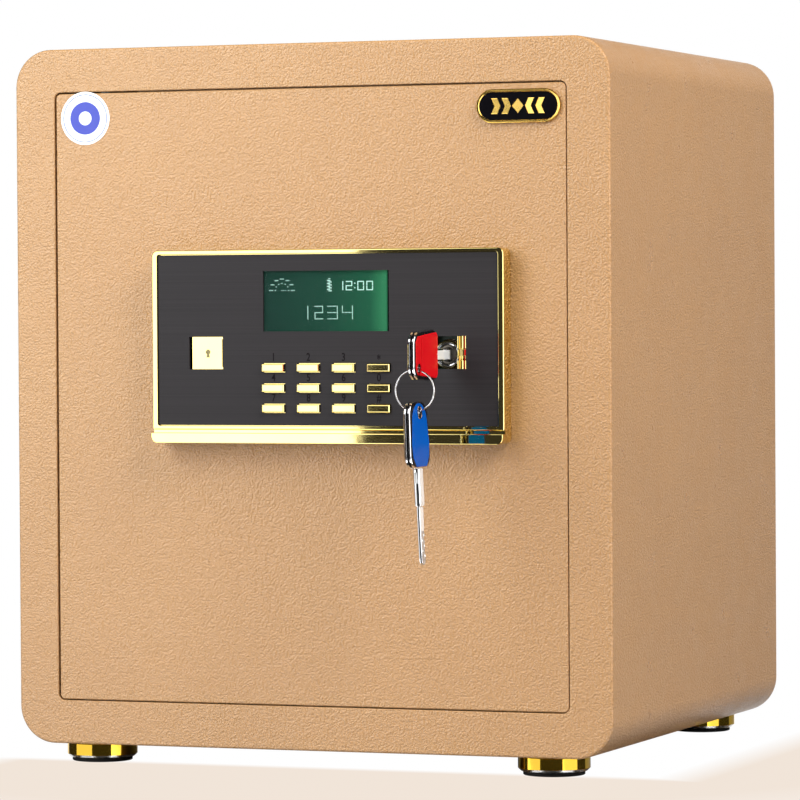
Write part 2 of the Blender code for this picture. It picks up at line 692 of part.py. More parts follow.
def keyhole_covers(mat, left, right):
    """Square covers that slide outwards behind the plate, ribbed on their inner end."""
    closed = COVER_X + (OPENING_W - COVER_W) / 2 - COVER_END_GAP
    for name, side, shift, parent in (
        ("keyhole_cover_left", -1, 0.0, left),
        ("keyhole_cover_right", 1, COVER_OPEN, right),
    ):
        x = PANEL_X + side * (closed + shift)
        outline = rounded(x - COVER_W / 2, x + COVER_W / 2, COVER_Z - COVER_H / 2, COVER_Z + COVER_H / 2)
        loops = [at_y(outline, SLIDE_FRONT), at_y(outline, SLIDE_FRONT + COVER_THICK)]
        cover = piece(name, loft(loops), mat, (x, SLIDE_FRONT, COVER_Z), parent)
        grooves = bmesh.new()
        for i in range(3):
            middle = x - side * (COVER_W / 2 - 0.0017 - 0.0018 * i)
            add_box(grooves, middle - 0.00045, middle + 0.00045, SLIDE_FRONT - 0.001, SLIDE_FRONT + 0.0006,
                    COVER_Z - 0.0085, COVER_Z + 0.0085)
        boolean(cover, grooves, "DIFFERENCE", f"{name}_ribs")


def badge(mat, hinge):
    """Blank stadium-shaped plate at the top right of the door."""
    plate = (BADGE_X - BADGE_W / 2, BADGE_X + BADGE_W / 2, BADGE_Z - BADGE_H / 2, BADGE_Z + BADGE_H / 2)
    edge = 0.0006
    front = -FIT - BADGE_T
    loops = [
        at_y(inset(*plate, BADGE_H / 2 - edge / 6, edge), front),
        at_y(rounded(*plate, BADGE_H / 2 - edge / 6), front + edge),
        at_y(rounded(*plate, BADGE_H / 2 - edge / 6), -FIT),
    ]
    piece("badge", loft(loops), mat, (BADGE_X, -FIT, BADGE_Z), hinge)


# ---------------------------------------------------------------- locks and keys


def lock_bodies(steel, hinge):
    """Main cylinder housing, and the second lock that its closed cover hides."""
    housing = [
        (LOCK_FRONT, LOCK_R - 0.0005), (LOCK_FRONT + 0.0005, LOCK_R), (DOOR_THICK + FIT, LOCK_R),
        (DOOR_THICK + FIT, LOCK_R + 0.004), (DOOR_THICK + 0.004, LOCK_R + 0.004),
        (DOOR_THICK + 0.004, LOCK_R), (LOCK_BACK, LOCK_R),
    ]
    at = (LOCK_X, 0.0, LOCK_Z)
    bore = [(LOCK_BACK, LOCK_BORE_R), (LOCK_FRONT, LOCK_BORE_R)]
    piece("main_lock_body", turned("Y", at, housing + bore, ROUND, closed=True), steel, at, hinge)
    at = (2 * PANEL_X - LOCK_X, 0.0, LOCK_Z)
    second = piece("second_lock", turned("Y", at, housing), steel, at, hinge)
    slot = boxes((at[0] - 0.00145, at[0] + 0.00145, LOCK_FRONT - 0.01, 0.020, at[2] - 0.0039, at[2] + 0.0039))
    boolean(second, slot, "DIFFERENCE", "second_lock_slot")


def lock_plug(mat, parent):
    """Turning plug with its keyway in front and its cam behind."""
    at = (LOCK_X, PLUG_FRONT, LOCK_Z)
    profile = [
        (0.0, PLUG_R - 0.0004), (0.0004, PLUG_R), (PLUG_BACK - PLUG_FRONT, PLUG_R),
        (PLUG_BACK - PLUG_FRONT, 0.0035), (PLUG_BACK - PLUG_FRONT + 0.0035, 0.0035),
    ]
    plug = piece("lock_plug", turned("Y", at, profile), mat, at, parent)
    cam = boxes((LOCK_X - 0.003, LOCK_X + 0.003, PLUG_BACK + 0.001, PLUG_BACK + 0.003, LOCK_Z - 0.014, LOCK_Z))
    boolean(plug, cam, "UNION", "plug_cam")
    slot = boxes((LOCK_X - 0.00145, LOCK_X + 0.00145, PLUG_FRONT - 0.01, 0.0295,
                  LOCK_Z - 0.0039, LOCK_Z + 0.0039))
    boolean(plug, slot, "DIFFERENCE", "plug_keyway")


def key_pieces(prefix, to_safe, hole, metal, plastic, origin, parent):
    """A key's plastic bow and its metal collar and blade.

    They are drawn with u along the key from the outer end of the bow, v across
    it and w through its thickness; to_safe(u, v, w) gives safe coordinates.
    """
    def slice_at(u, width, thick):
        corners = ((-1, -1), (1, -1), (1, 1), (-1, 1))
        return [to_safe(u, a * width / 2, b * thick / 2) for a, b in corners]

    outline = rounded(0.0, BOW_L, -BOW_W / 2, BOW_W / 2, BOW_R)
    slim = inset(0.0, BOW_L, -BOW_W / 2, BOW_W / 2, BOW_R, 0.0008)
    levels = ((slim, -BOW_T / 2), (outline, -BOW_T / 2 + 0.0008), (outline, BOW_T / 2 - 0.0008), (slim, BOW_T / 2))
    bow = piece(f"{prefix}_bow", loft([[to_safe(u, v, w) for u, v in shape] for shape, w in levels]),
                plastic, origin, parent)
    sides = 16
    rim = [2 * math.pi * i / sides for i in range(sides)]
    drill = [[to_safe(hole[0] + BOW_HOLE_R * math.cos(a), hole[1] + BOW_HOLE_R * math.sin(a), w) for a in rim]
             for w in (-BOW_T, BOW_T)]
    boolean(bow, loft(drill), "DIFFERENCE", f"{prefix}_bow_hole")

    start = BOW_L + FIT
    neck = start + COLLAR_L
    end = neck + BLADE_L
    metal_slices = [
        slice_at(start, COLLAR_W, COLLAR_T), slice_at(neck, COLLAR_W, COLLAR_T),
        slice_at(neck, BLADE_W, BLADE_T), slice_at(end - 0.003, BLADE_W, BLADE_T),
        slice_at(end, BLADE_W * 0.4, BLADE_T * 0.6),
    ]
    piece(f"{prefix}_blade", loft(metal_slices), metal, origin, parent)


def key_ring(mat, parent):
    """Split ring through both bows, hanging parallel to the door."""
    tube_sides = 8
    bm = bmesh.new()
    loops = []
    for i in range(32):
        turn = 2 * math.pi * i / 32
        loop = []
        for j in range(tube_sides):
            angle = 2 * math.pi * j / tube_sides
            radius = RING_R + RING_WIRE_R * math.cos(angle)
            loop.append((LOCK_X + radius * math.cos(turn), RING_Y + RING_WIRE_R * math.sin(angle),
                         RING_Z + radius * math.sin(turn)))
        loops.append(loop)
    add_loft(bm, loops, closed=True)
    piece("key_ring", bm, mat, (LOCK_X, RING_Y, RING_TOP_Z), parent)


def keys(metal, ring_metal, red, blue, plug):
    """Key in the lock, the ring through its bow, and the spare key hanging from the ring."""
    in_lock = pivot("inserted_key_slide", (LOCK_X, PLUG_FRONT, LOCK_Z), plug)
    key_pieces("inserted_key", lambda u, v, w: (LOCK_X + w, -KEY_REACH + u, LOCK_Z + v), RED_HOLE,
               metal, red, (LOCK_X, PLUG_FRONT, LOCK_Z), in_lock)
    ring_swing = pivot("key_ring_swing", (LOCK_X, RING_Y, RING_TOP_Z), in_lock)
    key_ring(ring_metal, ring_swing)
    spare_swing = pivot("spare_key_swing", (LOCK_X, RING_Y, RING_Z), ring_swing)

    def hanging(u, v, w):
        down = u - SPARE_HOLE[0]
        return (LOCK_X + w * math.cos(SPARE_LEAN) + down * math.sin(SPARE_LEAN), RING_Y + v,
                SPARE_HOLE_Z - down * math.cos(SPARE_LEAN) + w * math.sin(SPARE_LEAN))

    key_pieces("spare_key", hanging, SPARE_HOLE, metal, blue, (LOCK_X, RING_Y, RING_Z), spare_swing)


# ---------------------------------------------------------------- bolt work


def bolt_bar(mat, slide):
    """Upright bar that carries the bolts, with a rack arm cut on its lower edge."""
    pitch = math.pi * GEAR_MODULE
    pitch_line = GEAR_Z + GEAR_R
    root = pitch_line + DEDENDUM
    tip = pitch_line - ADDENDUM
    top = root + 0.006
    teeth = []
    for i in range(-9, 3):
        middle = GEAR_X + (i + 0.5) * pitch
        teeth += [(middle - RACK_ROOT, root), (middle - RACK_TIP, tip),
                  (middle + RACK_TIP, tip), (middle + RACK_ROOT, root)]
    left = teeth[0][0] - 0.002
    low = BOLT_HEIGHTS[0] - 0.014
    high = BOLT_HEIGHTS[-1] + 0.014
    outline = [(left, root), *teeth, (BAR_X[0], root), (BAR_X[0], low), (BAR_X[1], low),
               (BAR_X[1], high), (BAR_X[0], high), (BAR_X[0], top), (left, top)]
    loops = [at_y(outline, RACK_Y[0]), at_y(outline, RACK_Y[1])]
    piece("bolt_bar", loft(loops), mat, (BAR_X[0], BOLT_Y, BOLT_HEIGHTS[1]), slide)


def bolts(mat, slide):
    """Three round bolts on the bar, drawn back flush with the door's inner box."""
    start = BAR_X[1] + FIT
    length = TRAY_X[1] + 0.002 - start
    profile = [(0.0, BOLT_R), (length - 0.0012, BOLT_R), (length, BOLT_R - 0.0012)]
    for name, z in zip(("bolt_bottom", "bolt_middle", "bolt_top"), BOLT_HEIGHTS):
        at = (start, BOLT_Y, z)
        piece(name, turned("X", at, profile), mat, at, slide)


def drive_gear(mat, hinge):
    """Pinion on the gearbox's output shaft, in mesh with the rack."""
    root = GEAR_R - DEDENDUM
    tip = GEAR_R + ADDENDUM
    tooth = [(-TOOTH_ROOT, root), (-TOOTH_TIP, tip), (TOOTH_TIP, tip), (TOOTH_ROOT, root)]
    teeth = []
    hub = []
    for i in range(GEAR_TEETH):
        turn = math.pi / 2 + 2 * math.pi * i / GEAR_TEETH
        for aside, radius in tooth:
            angle = turn + aside / radius
            teeth.append((GEAR_X + radius * math.cos(angle), GEAR_Z + radius * math.sin(angle)))
            hub.append((GEAR_X + HUB_R * math.cos(angle), GEAR_Z + HUB_R * math.sin(angle)))
    loops = [at_y(hub, RACK_Y[0] - 0.0007), at_y(hub, RACK_Y[0]), at_y(teeth, RACK_Y[0]), at_y(teeth, RACK_Y[1])]
    piece("drive_gear", loft(loops), mat, (GEAR_X, BOLT_Y, GEAR_Z), hinge)


def motor_gearbox(mat, hinge):
    """Gearbox in front of the pinion with its motor hanging below."""
    back = RACK_Y[0] - 0.0010
    box = boxes((GEAR_X - 0.014, GEAR_X + 0.014, back - 0.0135, back, GEAR_Z - 0.024, GEAR_Z + 0.012))
    gearbox = piece("motor_gearbox", box, mat, (GEAR_X, back, GEAR_Z), hinge)
    centre = (GEAR_X, back - 0.00675, GEAR_Z - 0.055)
    motor = turned("Z", centre, [(0.0, 0.0055), (0.001, 0.0062), (0.032, 0.0062)], 20)
    boolean(gearbox, motor, "UNION", "gearbox_motor")


# ---------------------------------------------------------------- the whole safe


def main():
    for obj in list(bpy.data.objects):
        bpy.data.objects.remove(obj, do_unlink=True)

    coat = material("powder_coat", (0.62, 0.42, 0.25), 0.55)
    inside = material("inner_coat", (0.60, 0.41, 0.25), 0.60)
    gold = material("gold_plate", (0.90, 0.68, 0.28), 0.15, 1.0)
    black = material("brushed_black", (0.045, 0.042, 0.044), 0.40, 0.6)
    rubber = material("rubber", (0.02, 0.02, 0.02), 0.80)
    steel = material("zinc_steel", (0.62, 0.62, 0.60), 0.35, 1.0)
    chrome = material("chrome", (0.85, 0.85, 0.85), 0.12, 1.0)
    felt = material("felt", (0.05, 0.05, 0.06), 0.95)
    plastic = material("black_plastic", (0.03, 0.03, 0.03), 0.45)
    red = material("red_plastic", (0.75, 0.02, 0.02), 0.30)
    blue = material("blue_plastic", (0.02, 0.08, 0.60), 0.30)
    glass = material("smoked_glass", (0.03, 0.08, 0.05), 0.08)
    green = material("display_green", (0.03, 0.22, 0.12), 0.40)
    board = material("board_green", (0.02, 0.15, 0.06), 0.50)
    cell = material("cell_sleeve", (0.55, 0.35, 0.05), 0.35)

    outer_shell(coat)
    back_panel(coat)
    door_jamb(inside)
    hinge_pins(steel)
    feet(gold, rubber)
    shelf(inside)
    floor_mat(felt)

    hinge = pivot("door_hinge", (HINGE_X, HINGE_BACK, BODY_H / 2))
    door_plate(coat, hinge)
    dead_bar(steel, hinge)
    door_tray(inside, hinge)
    door_back_cover(inside, hinge)
    battery_bay(plastic, cell, hinge)
    battery_cover(plastic, hinge)
    reset_button(red, hinge)

    panel_bezel(gold, hinge)
    face_plate(black, hinge)
    keypad_keys(gold, hinge)
    display(glass, green, hinge)
    circuit_board(board, hinge)
    keyhole_covers(gold, hinge, hinge)
    badge(gold, hinge)

    lock_bodies(chrome, hinge)
    plug = pivot("lock_plug_turn", (LOCK_X, PLUG_FRONT, LOCK_Z), hinge)
    lock_plug(chrome, plug)
    keys(chrome, steel, red, blue, plug)

    slide = pivot("bolt_slide", (BAR_X[0], BOLT_Y, BOLT_HEIGHTS[1]), hinge)
    bolt_bar(steel, slide)
    bolts(steel, slide)
    drive_gear(steel, hinge)
    motor_gearbox(plastic, hinge)


main()
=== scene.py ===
"""Looks of an in-room safe: champagne leather-grain coat, gold keypad panel, keys in the lock."""

import math

import bmesh
import bpy
from mathutils import Matrix, Vector

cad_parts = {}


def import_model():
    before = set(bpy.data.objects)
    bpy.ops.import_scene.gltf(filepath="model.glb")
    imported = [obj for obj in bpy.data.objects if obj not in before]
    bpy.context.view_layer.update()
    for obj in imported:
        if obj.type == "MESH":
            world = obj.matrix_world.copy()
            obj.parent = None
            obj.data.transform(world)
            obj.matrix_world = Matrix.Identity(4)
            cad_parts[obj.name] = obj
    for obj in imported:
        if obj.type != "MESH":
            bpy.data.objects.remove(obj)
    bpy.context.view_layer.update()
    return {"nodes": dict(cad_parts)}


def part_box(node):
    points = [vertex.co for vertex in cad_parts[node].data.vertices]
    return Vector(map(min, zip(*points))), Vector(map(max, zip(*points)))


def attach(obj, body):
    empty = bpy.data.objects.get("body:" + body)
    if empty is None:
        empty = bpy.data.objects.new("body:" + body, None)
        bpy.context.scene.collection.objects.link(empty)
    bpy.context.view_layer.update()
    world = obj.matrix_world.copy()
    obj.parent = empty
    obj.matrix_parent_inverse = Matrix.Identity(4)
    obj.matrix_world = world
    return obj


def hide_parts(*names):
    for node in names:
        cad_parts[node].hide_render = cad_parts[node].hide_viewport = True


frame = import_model()
nodes = frame["nodes"]

shell_low, shell_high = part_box("outer_shell")
FRONT = shell_low.y
BASE = shell_low.z
HALF = shell_high.x
HEIGHT = shell_high.z - shell_low.z
DEPTH = shell_high.y - shell_low.y
FIT = 0.0003
MM = 0.001

# ---------------------------------------------------------------- mesh helpers


def local(point):
    """A world point as (x, back from the front face, up from the cabinet's underside)."""
    return Vector((point[0], point[1] - FRONT, point[2] - BASE))


def world(x, y, z):
    return Vector((x, FRONT + y, BASE + z))


def node_box(name):
    low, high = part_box(name)
    return local(low), local(high)


def outline(rect, radii, by=0.0, steps=8):
    """Rounded rectangle as points, drawn in by a distance. Radii go anticlockwise from top right."""
    left, right, low, high = rect[0] + by, rect[1] - by, rect[2] + by, rect[3] - by
    if not isinstance(radii, tuple):
        radii = (radii,) * 4
    centres = ((right, high, -1, -1), (left, high, 1, -1), (left, low, 1, 1), (right, low, -1, 1))
    points = []
    for quarter, (x, z, to_x, to_z) in enumerate(centres):
        radius = max(radii[quarter] - by, 0.00005)
        for i in range(steps + 1):
            angle = math.radians(90 * (quarter + i / steps))
            points.append((x + to_x * radius + radius * math.cos(angle),
                           z + to_z * radius + radius * math.sin(angle)))
    return points


def fillet(radius, steps=4):
    """(inset, depth) pairs that round an edge, from the face round to the side."""
    turns = [math.radians(90 * i / steps) for i in range(steps + 1)]
    return [(radius * (1 - math.sin(a)), radius * (1 - math.cos(a))) for a in turns]


def ring_at(rect, radii, by, depth, steps=8):
    """World points of a rounded rectangle at a depth."""
    return [world(a, depth, b) for a, b in outline(rect, radii, by, steps)]


def loft(bm, loops, closed=False, material=0, bands=()):
    """Skin a row of equal loops. The ends are capped unless the row is closed on itself.

    bands lists the strips, counted from the first loop, that take the next material.
    """
    rows = [[bm.verts.new(point) for point in loop] for loop in loops]
    count = len(rows[0])
    pairs = list(zip(rows, rows[1:]))
    if closed:
        pairs.append((rows[-1], rows[0]))
    for strip, (low, high) in enumerate(pairs):
        for i in range(count):
            j = (i + 1) % count
            face = bm.faces.new((low[i], low[j], high[j], high[i]))
            face.material_index = material + (strip in bands)
    if not closed:
        for end in (rows[0], rows[-1]):
            bm.faces.new(end).material_index = material


def layers(bm, rect, radii, profile, closed=False, steps=8, material=0):
    """Skin copies of a rounded rectangle at (inset, depth) levels."""
    loft(bm, [ring_at(rect, radii, by, depth, steps) for by, depth in profile], closed, material)


def flat_shape(bm, depths, points):
    """Thin shape that faces the front, between two depths."""
    loft(bm, [[world(x, y, z) for x, z in points] for y in depths])


def block(bm, x0, x1, y0, y1, z0, z1, round_by=0.0003, material=0):
    """Box with eased edges."""
    ease = min(round_by, (x1 - x0) / 3, (y1 - y0) / 3, (z1 - z0) / 3)
    edge = fillet(ease, 2)
    profile = [(by, y0 + d) for by, d in edge] + [(by, y1 - d) for by, d in reversed(edge)]
    layers(bm, (x0, x1, z0, z1), ease * 1.5, profile, steps=2, material=material)


def turned(bm, axis, centre, profile, sides=64, closed=False, bands=()):
    """Turn (distance along the axis, radius) pairs about an axis through a local point."""
    loops = []
    for distance, radius in profile:
        loop = []
        for i in range(sides):
            angle = 2 * math.pi * i / sides
            u, v = radius * math.cos(angle), radius * math.sin(angle)
            offset = {"X": (distance, u, v), "Y": (u, distance, v), "Z": (u, v, distance)}[axis]
            loop.append(world(*(c + o for c, o in zip(centre, offset))))
        loops.append(loop)
    loft(bm, loops, closed, bands=bands)


def as_mesh(name, bm):
    bmesh.ops.recalc_face_normals(bm, faces=bm.faces)
    mesh = bpy.data.meshes.new(name)
    bm.to_mesh(mesh)
    bm.free()
    return mesh


def carve(obj, bm, operation):
    """Cut or join a closed mesh, and keep only the result."""
    tool = bpy.data.objects.new("tool", as_mesh("tool", bm))
    bpy.context.scene.collection.objects.link(tool)
    modifier = obj.modifiers.new("carve", "BOOLEAN")
    modifier.operation = operation
    modifier.solver = "EXACT"
    modifier.object = tool
    bpy.context.view_layer.update()
    result = bpy.data.meshes.new_from_object(obj.evaluated_get(bpy.context.evaluated_depsgraph_get()))
    obj.modifiers.clear()
    obj.data = result
    bpy.data.objects.remove(tool)


def make(name, bm, materials, body, stands_for=(), cuts=(), joins=(), smooth=32):
    """Finish a piece: its mesh, materials, cuts, and the body it rides on."""
    obj = bpy.data.objects.new(name, as_mesh(name, bm))
    bpy.context.scene.collection.objects.link(obj)
    for mat in materials:
        obj.data.materials.append(mat)
    for other in joins:
        carve(obj, other, "UNION")
    for other in cuts:
        carve(obj, other, "DIFFERENCE")
    obj.data.shade_smooth()
    obj.data.set_sharp_from_angle(angle=math.radians(smooth))
    even = obj.modifiers.new("even_normals", "WEIGHTED_NORMAL")
    even.keep_sharp = True
    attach(obj, body)
    if stands_for:
        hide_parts(*stands_for)
    return obj


def ease_edges(obj, width, segments=2):
    """Round the sharp edges of a piece by a small bevel."""
    bevel = obj.modifiers.new("eased_edges", "BEVEL")
    bevel.width = width
    bevel.segments = segments
    bevel.limit_method = "ANGLE"
    bevel.angle_limit = math.radians(40)
    bevel.use_clamp_overlap = True


# ---------------------------------------------------------------- materials


def add_node(tree, kind, **values):
    """Add a shader node; values set its properties or inputs, and sockets are linked."""
    node = tree.nodes.new("ShaderNode" + kind)
    for key, value in values.items():
        key = key.replace("_", " ") if not hasattr(node, key) else key
        if hasattr(node, key):
            setattr(node, key, value)
        elif isinstance(value, bpy.types.NodeSocket):
            tree.links.new(value, node.inputs[key])
        else:
            node.inputs[key].default_value = value
    return node


def new_tree(collection, name):
    """A new material or world, and its node tree."""
    owner = collection.new(name)
    owner.use_nodes = True
    return owner, owner.node_tree


def link(tree, node, *sources):
    """Link sources to the node's first inputs, in order."""
    for source, socket in zip(sources, node.inputs):
        tree.links.new(source, socket)


def surface(mat):
    return mat.node_tree.nodes["Principled BSDF"]


def finish(name, dark, light, rough, metallic=0.0, blotch=30, stretch=(1, 1, 1), relief=None, **extra):
    """Principled material whose colour, roughness and fine relief vary with noise.

    relief is (scale, height in metres, detail).
    """
    mat, tree = new_tree(bpy.data.materials, name)
    shader = surface(mat)
    coords = add_node(tree, "TexCoord").outputs["Object"]
    mapped = add_node(tree, "Mapping", Vector=coords, Scale=stretch).outputs[0]
    tint = add_node(tree, "TexNoise", Vector=mapped, Scale=blotch, Detail=4.0)
    blend = add_node(tree, "Mix", data_type="RGBA")
    tree.links.new(tint.outputs["Fac"], blend.inputs["Factor"])
    blend.inputs[6].default_value = (*dark, 1)
    blend.inputs[7].default_value = (*light, 1)
    tree.links.new(blend.outputs[2], shader.inputs["Base Color"])
    wipe = add_node(tree, "TexNoise", Vector=mapped, Scale=blotch * 3.1, Detail=5.0)
    span = add_node(tree, "MapRange", Value=wipe.outputs["Fac"], From_Min=0.3, From_Max=0.7,
                    To_Min=rough[0], To_Max=rough[1])
    tree.links.new(span.outputs[0], shader.inputs["Roughness"])
    shader.inputs["Metallic"].default_value = metallic
    if relief:
        scale, height, detail = relief
        bumps = add_node(tree, "TexNoise", Vector=mapped, Scale=scale, Detail=detail)
        bump = add_node(tree, "Bump", Height=bumps.outputs["Fac"], Distance=height, Strength=1.0)
        tree.links.new(bump.outputs[0], shader.inputs["Normal"])
    for key, value in extra.items():
        shader.inputs[key.replace("_", " ")].default_value = value
    return mat


def leather_coat(name, dark, light, rough, cell, height):
    """Baked powder coat: fine pebbles over a slower swell, cell metres apart."""
    mat = finish(name, dark, light, rough, blotch=14)
    tree, shader = mat.node_tree, surface(mat)
    coords = add_node(tree, "TexCoord").outputs["Object"]
    pebbles = add_node(tree, "TexNoise", Vector=coords, Scale=1 / cell, Detail=1.5, Roughness=0.45)
    swell = add_node(tree, "TexNoise", Vector=coords, Scale=0.35 / cell, Detail=1.0)
    swell_share = 0.3
    whole = add_node(tree, "Math", operation="MULTIPLY_ADD")
    tree.links.new(swell.outputs["Fac"], whole.inputs[0])
    whole.inputs[1].default_value = swell_share
    tree.links.new(pebbles.outputs["Fac"], whole.inputs[2])
    bump = add_node(tree, "Bump", Height=whole.outputs[0], Distance=height, Strength=1.0)
    tree.links.new(bump.outputs[0], shader.inputs["Normal"])
    return mat


def along_x(mat, stops, low, high):
    """Give a material a base colour that runs through stops from one x to another."""
    tree, shader = mat.node_tree, surface(mat)
    coords = add_node(tree, "TexCoord").outputs["Object"]
    parts = add_node(tree, "SeparateXYZ", Vector=coords)
    span = add_node(tree, "MapRange", Value=parts.outputs["X"], From_Min=low, From_Max=high)
    ramp = add_node(tree, "ValToRGB", Fac=span.outputs[0])
    elements = ramp.color_ramp.elements
    while len(elements) < len(stops):
        elements.new(0.5)
    for element, (position, colour) in zip(elements, stops):
        element.position = position
        element.color = (*colour, 1)
    tree.links.new(ramp.outputs[0], shader.inputs["Base Color"])
    return ramp.outputs[0]


COAT = leather_coat("powder_coat", (0.40, 0.212, 0.086), (0.44, 0.238, 0.098), (0.27, 0.36), 0.0013, 0.00085)
surface(COAT).inputs["Specular IOR Level"].default_value = 0.8
INNER = leather_coat("inner_coat", (0.38, 0.20, 0.085), (0.42, 0.225, 0.098), (0.42, 0.52), 0.0020, 0.00020)
# gold_plate is paled towards cream. This is partly the plating's own colour and partly a painted highlight standing in
# for washed-out highlights. deep_gold on the feet keeps the saturated gold.
GOLD = finish("gold_plate", (0.91, 0.745, 0.28), (0.95, 0.79, 0.32), (0.035, 0.055), 1.0, 60, relief=(90, 0.000008, 2))
ORNAMENT = finish("ornament_gold", (0.88, 0.58, 0.13), (0.92, 0.63, 0.17), (0.20, 0.28), 1.0, 90)
DEEP_GOLD = finish("deep_gold", (0.82, 0.50, 0.045), (0.90, 0.58, 0.065), (0.05, 0.08), 1.0, 60,
                   relief=(90, 0.000008, 2))
BLACK_METAL = finish("brushed_black", (0.015, 0.013, 0.0135), (0.034, 0.030, 0.031), (0.36, 0.46), 0.0, 60,
                     stretch=(0.03, 1, 16), relief=(200, 0.00001, 3), Specular_IOR_Level=0.12)
BLACK_GLOSS = finish("black_enamel", (0.002, 0.002, 0.003), (0.005, 0.004, 0.005), (0.10, 0.18), 0.0, 90,
                     Specular_IOR_Level=0.06)
CHROME = finish("chrome", (0.78, 0.78, 0.80), (0.86, 0.86, 0.87), (0.05, 0.12), 1.0, 120, relief=(400, 0.000005, 2))
STEEL = finish("zinc_steel", (0.50, 0.50, 0.48), (0.66, 0.66, 0.64), (0.25, 0.42), 1.0, 80,
               stretch=(1, 1, 4), relief=(900, 0.00001, 3))
TURNED_STEEL = finish("turned_steel", (0.62, 0.62, 0.62), (0.74, 0.74, 0.73), (0.14, 0.24), 1.0, 90,
                      relief=(1200, 0.000006, 2))
RUBBER = finish("rubber", (0.006, 0.006, 0.006), (0.014, 0.013, 0.013), (0.62, 0.78), 0.0, 60,
                relief=(1500, 0.00003, 3), Specular_IOR_Level=0.15)
FELT = finish("felt", (0.022, 0.022, 0.026), (0.050, 0.050, 0.056), (0.90, 1.0), 0.0, 220,
              relief=(1700, 0.00025, 5), Sheen_Weight=0.5)
BLACK_PLASTIC = finish("black_plastic", (0.018, 0.018, 0.019), (0.030, 0.030, 0.031), (0.42, 0.55), 0.0, 50,
                       relief=(2200, 0.00003, 2))
KEY_BLACK = finish("key_black", (0.002, 0.002, 0.003), (0.005, 0.005, 0.006), (0.22, 0.34), 0.0, 90,
                   relief=(900, 0.00001, 2), Specular_IOR_Level=0.2)
RED = finish("red_insert", (0.50, 0.003, 0.006), (0.58, 0.005, 0.010), (0.16, 0.24), 0.0, 70,
             relief=(500, 0.00001, 2), Specular_IOR_Level=0.22)
BLUE = finish("blue_insert", (0.0, 0.068, 0.34), (0.0, 0.088, 0.41), (0.16, 0.24), 0.0, 70,
              relief=(500, 0.00001, 2), Specular_IOR_Level=0.14)
BOARD = finish("board_green", (0.002, 0.022, 0.009), (0.004, 0.034, 0.013), (0.30, 0.42), 0.0, 240,
               relief=(700, 0.00004, 2))
SLEEVE = finish("cell_sleeve", (0.62, 0.36, 0.03), (0.72, 0.44, 0.05), (0.16, 0.26), 0.0, 60)
WHITE_VINYL = finish("white_vinyl", (0.80, 0.82, 0.86), (0.88, 0.89, 0.92), (0.25, 0.35), 0.0, 90)
BLUE_INK = finish("blue_ink", (0.028, 0.042, 0.32), (0.036, 0.052, 0.37), (0.30, 0.40), 0.0, 300)
PALE_INK = finish("pale_ink", (0.13, 0.15, 0.36), (0.16, 0.18, 0.40), (0.3, 0.4), 0.0, 300)
DARK_INK = finish("dark_ink", (0.006, 0.004, 0.005), (0.010, 0.008, 0.009), (0.35, 0.5), 0.0, 400,
                  Specular_IOR_Level=0.03)
PLUG_STEEL = finish("plug_steel", (0.10, 0.09, 0.08), (0.20, 0.18, 0.15), (0.25, 0.40), 1.0, 200,
                    relief=(900, 0.00001, 3))
# Pale, half-metallic finish for the broad sides of the key shanks: a painted highlight standing in for their bright
# reflection.
SHANK = finish("key_shank", (0.82, 0.82, 0.82), (0.92, 0.92, 0.91), (0.16, 0.26), 0.35, 160,
               relief=(900, 0.00001, 3))
NICKED = finish("key_cuts", (0.10, 0.09, 0.08), (0.98, 0.98, 0.97), (0.16, 0.26), 0.5, 700,
                relief=(500, 0.0003, 2))
ENGRAVED = finish("engraved_mark", (0.22, 0.18, 0.08), (0.28, 0.23, 0.11), (0.4, 0.5), 0.0, 300,
                  Specular_IOR_Level=0.05)

LCD = finish("display_green", (0.01, 0.05, 0.03), (0.02, 0.08, 0.05), (0.3, 0.4), 0.0, 30, Specular_IOR_Level=0.0)
MARK = finish("display_mark", (0.44, 0.66, 0.58), (0.48, 0.72, 0.63), (0.4, 0.5), 0.0, 300,
              Specular_IOR_Level=0.0)


def window_glass():
    """Thin clear window: mostly see-through, with a faint surface reflection."""
    mat, tree = new_tree(bpy.data.materials, "window_glass")
    shader = surface(mat)
    shader.inputs["Base Color"].default_value = (0.02, 0.05, 0.04, 1)
    shader.inputs["Specular IOR Level"].default_value = 0.10
    shader.inputs["Alpha"].default_value = 0.08
    smear = add_node(tree, "TexNoise", Scale=70.0, Detail=3.0)
    span = add_node(tree, "MapRange", Value=smear.outputs["Fac"], To_Min=0.03, To_Max=0.10)
    tree.links.new(span.outputs[0], shader.inputs["Roughness"])
    return mat


GLASS = window_glass()

# ---------------------------------------------------------------- cabinet


def cabinet():
    """Bent sheet body with rounded long edges and an eased flange round the door."""
    bm = bmesh.new()
    body = (-HALF, HALF, 0.0, HEIGHT)
    door_low, door_high = node_box("door_plate")
    hole = (door_low.x - 0.0013, door_high.x + 0.0006, door_low.z - 0.0007, door_high.z + 0.0010)
    wall, corner, hole_corner, steps = 0.003, 0.024, 0.0045, 14
    edge = fillet(0.0016, 5)
    lip = fillet(0.0007, 3)
    loops = [ring_at(body, corner, by, depth, steps) for by, depth in edge]
    loops += [ring_at(body, corner, by, DEPTH - depth, steps) for by, depth in reversed(edge)]
    loops += [ring_at(body, corner, wall, depth, steps) for depth in (DEPTH, wall)]
    loops.append(ring_at(hole, hole_corner, 0.0, wall, steps))
    loops += [ring_at(hole, hole_corner, -by, depth, steps) for by, depth in reversed(lip)]
    loft(bm, loops, closed=True)
    holes = bmesh.new()
    for side in (-1, 1):
        turned(holes, "Z", (side * 0.110, DEPTH / 2, 0.0), [(-0.01, 0.0055), (0.01, 0.0055)], 40)
    make("cabinet_shell", bm, [COAT], "cabinet", ["outer_shell"], cuts=[holes])


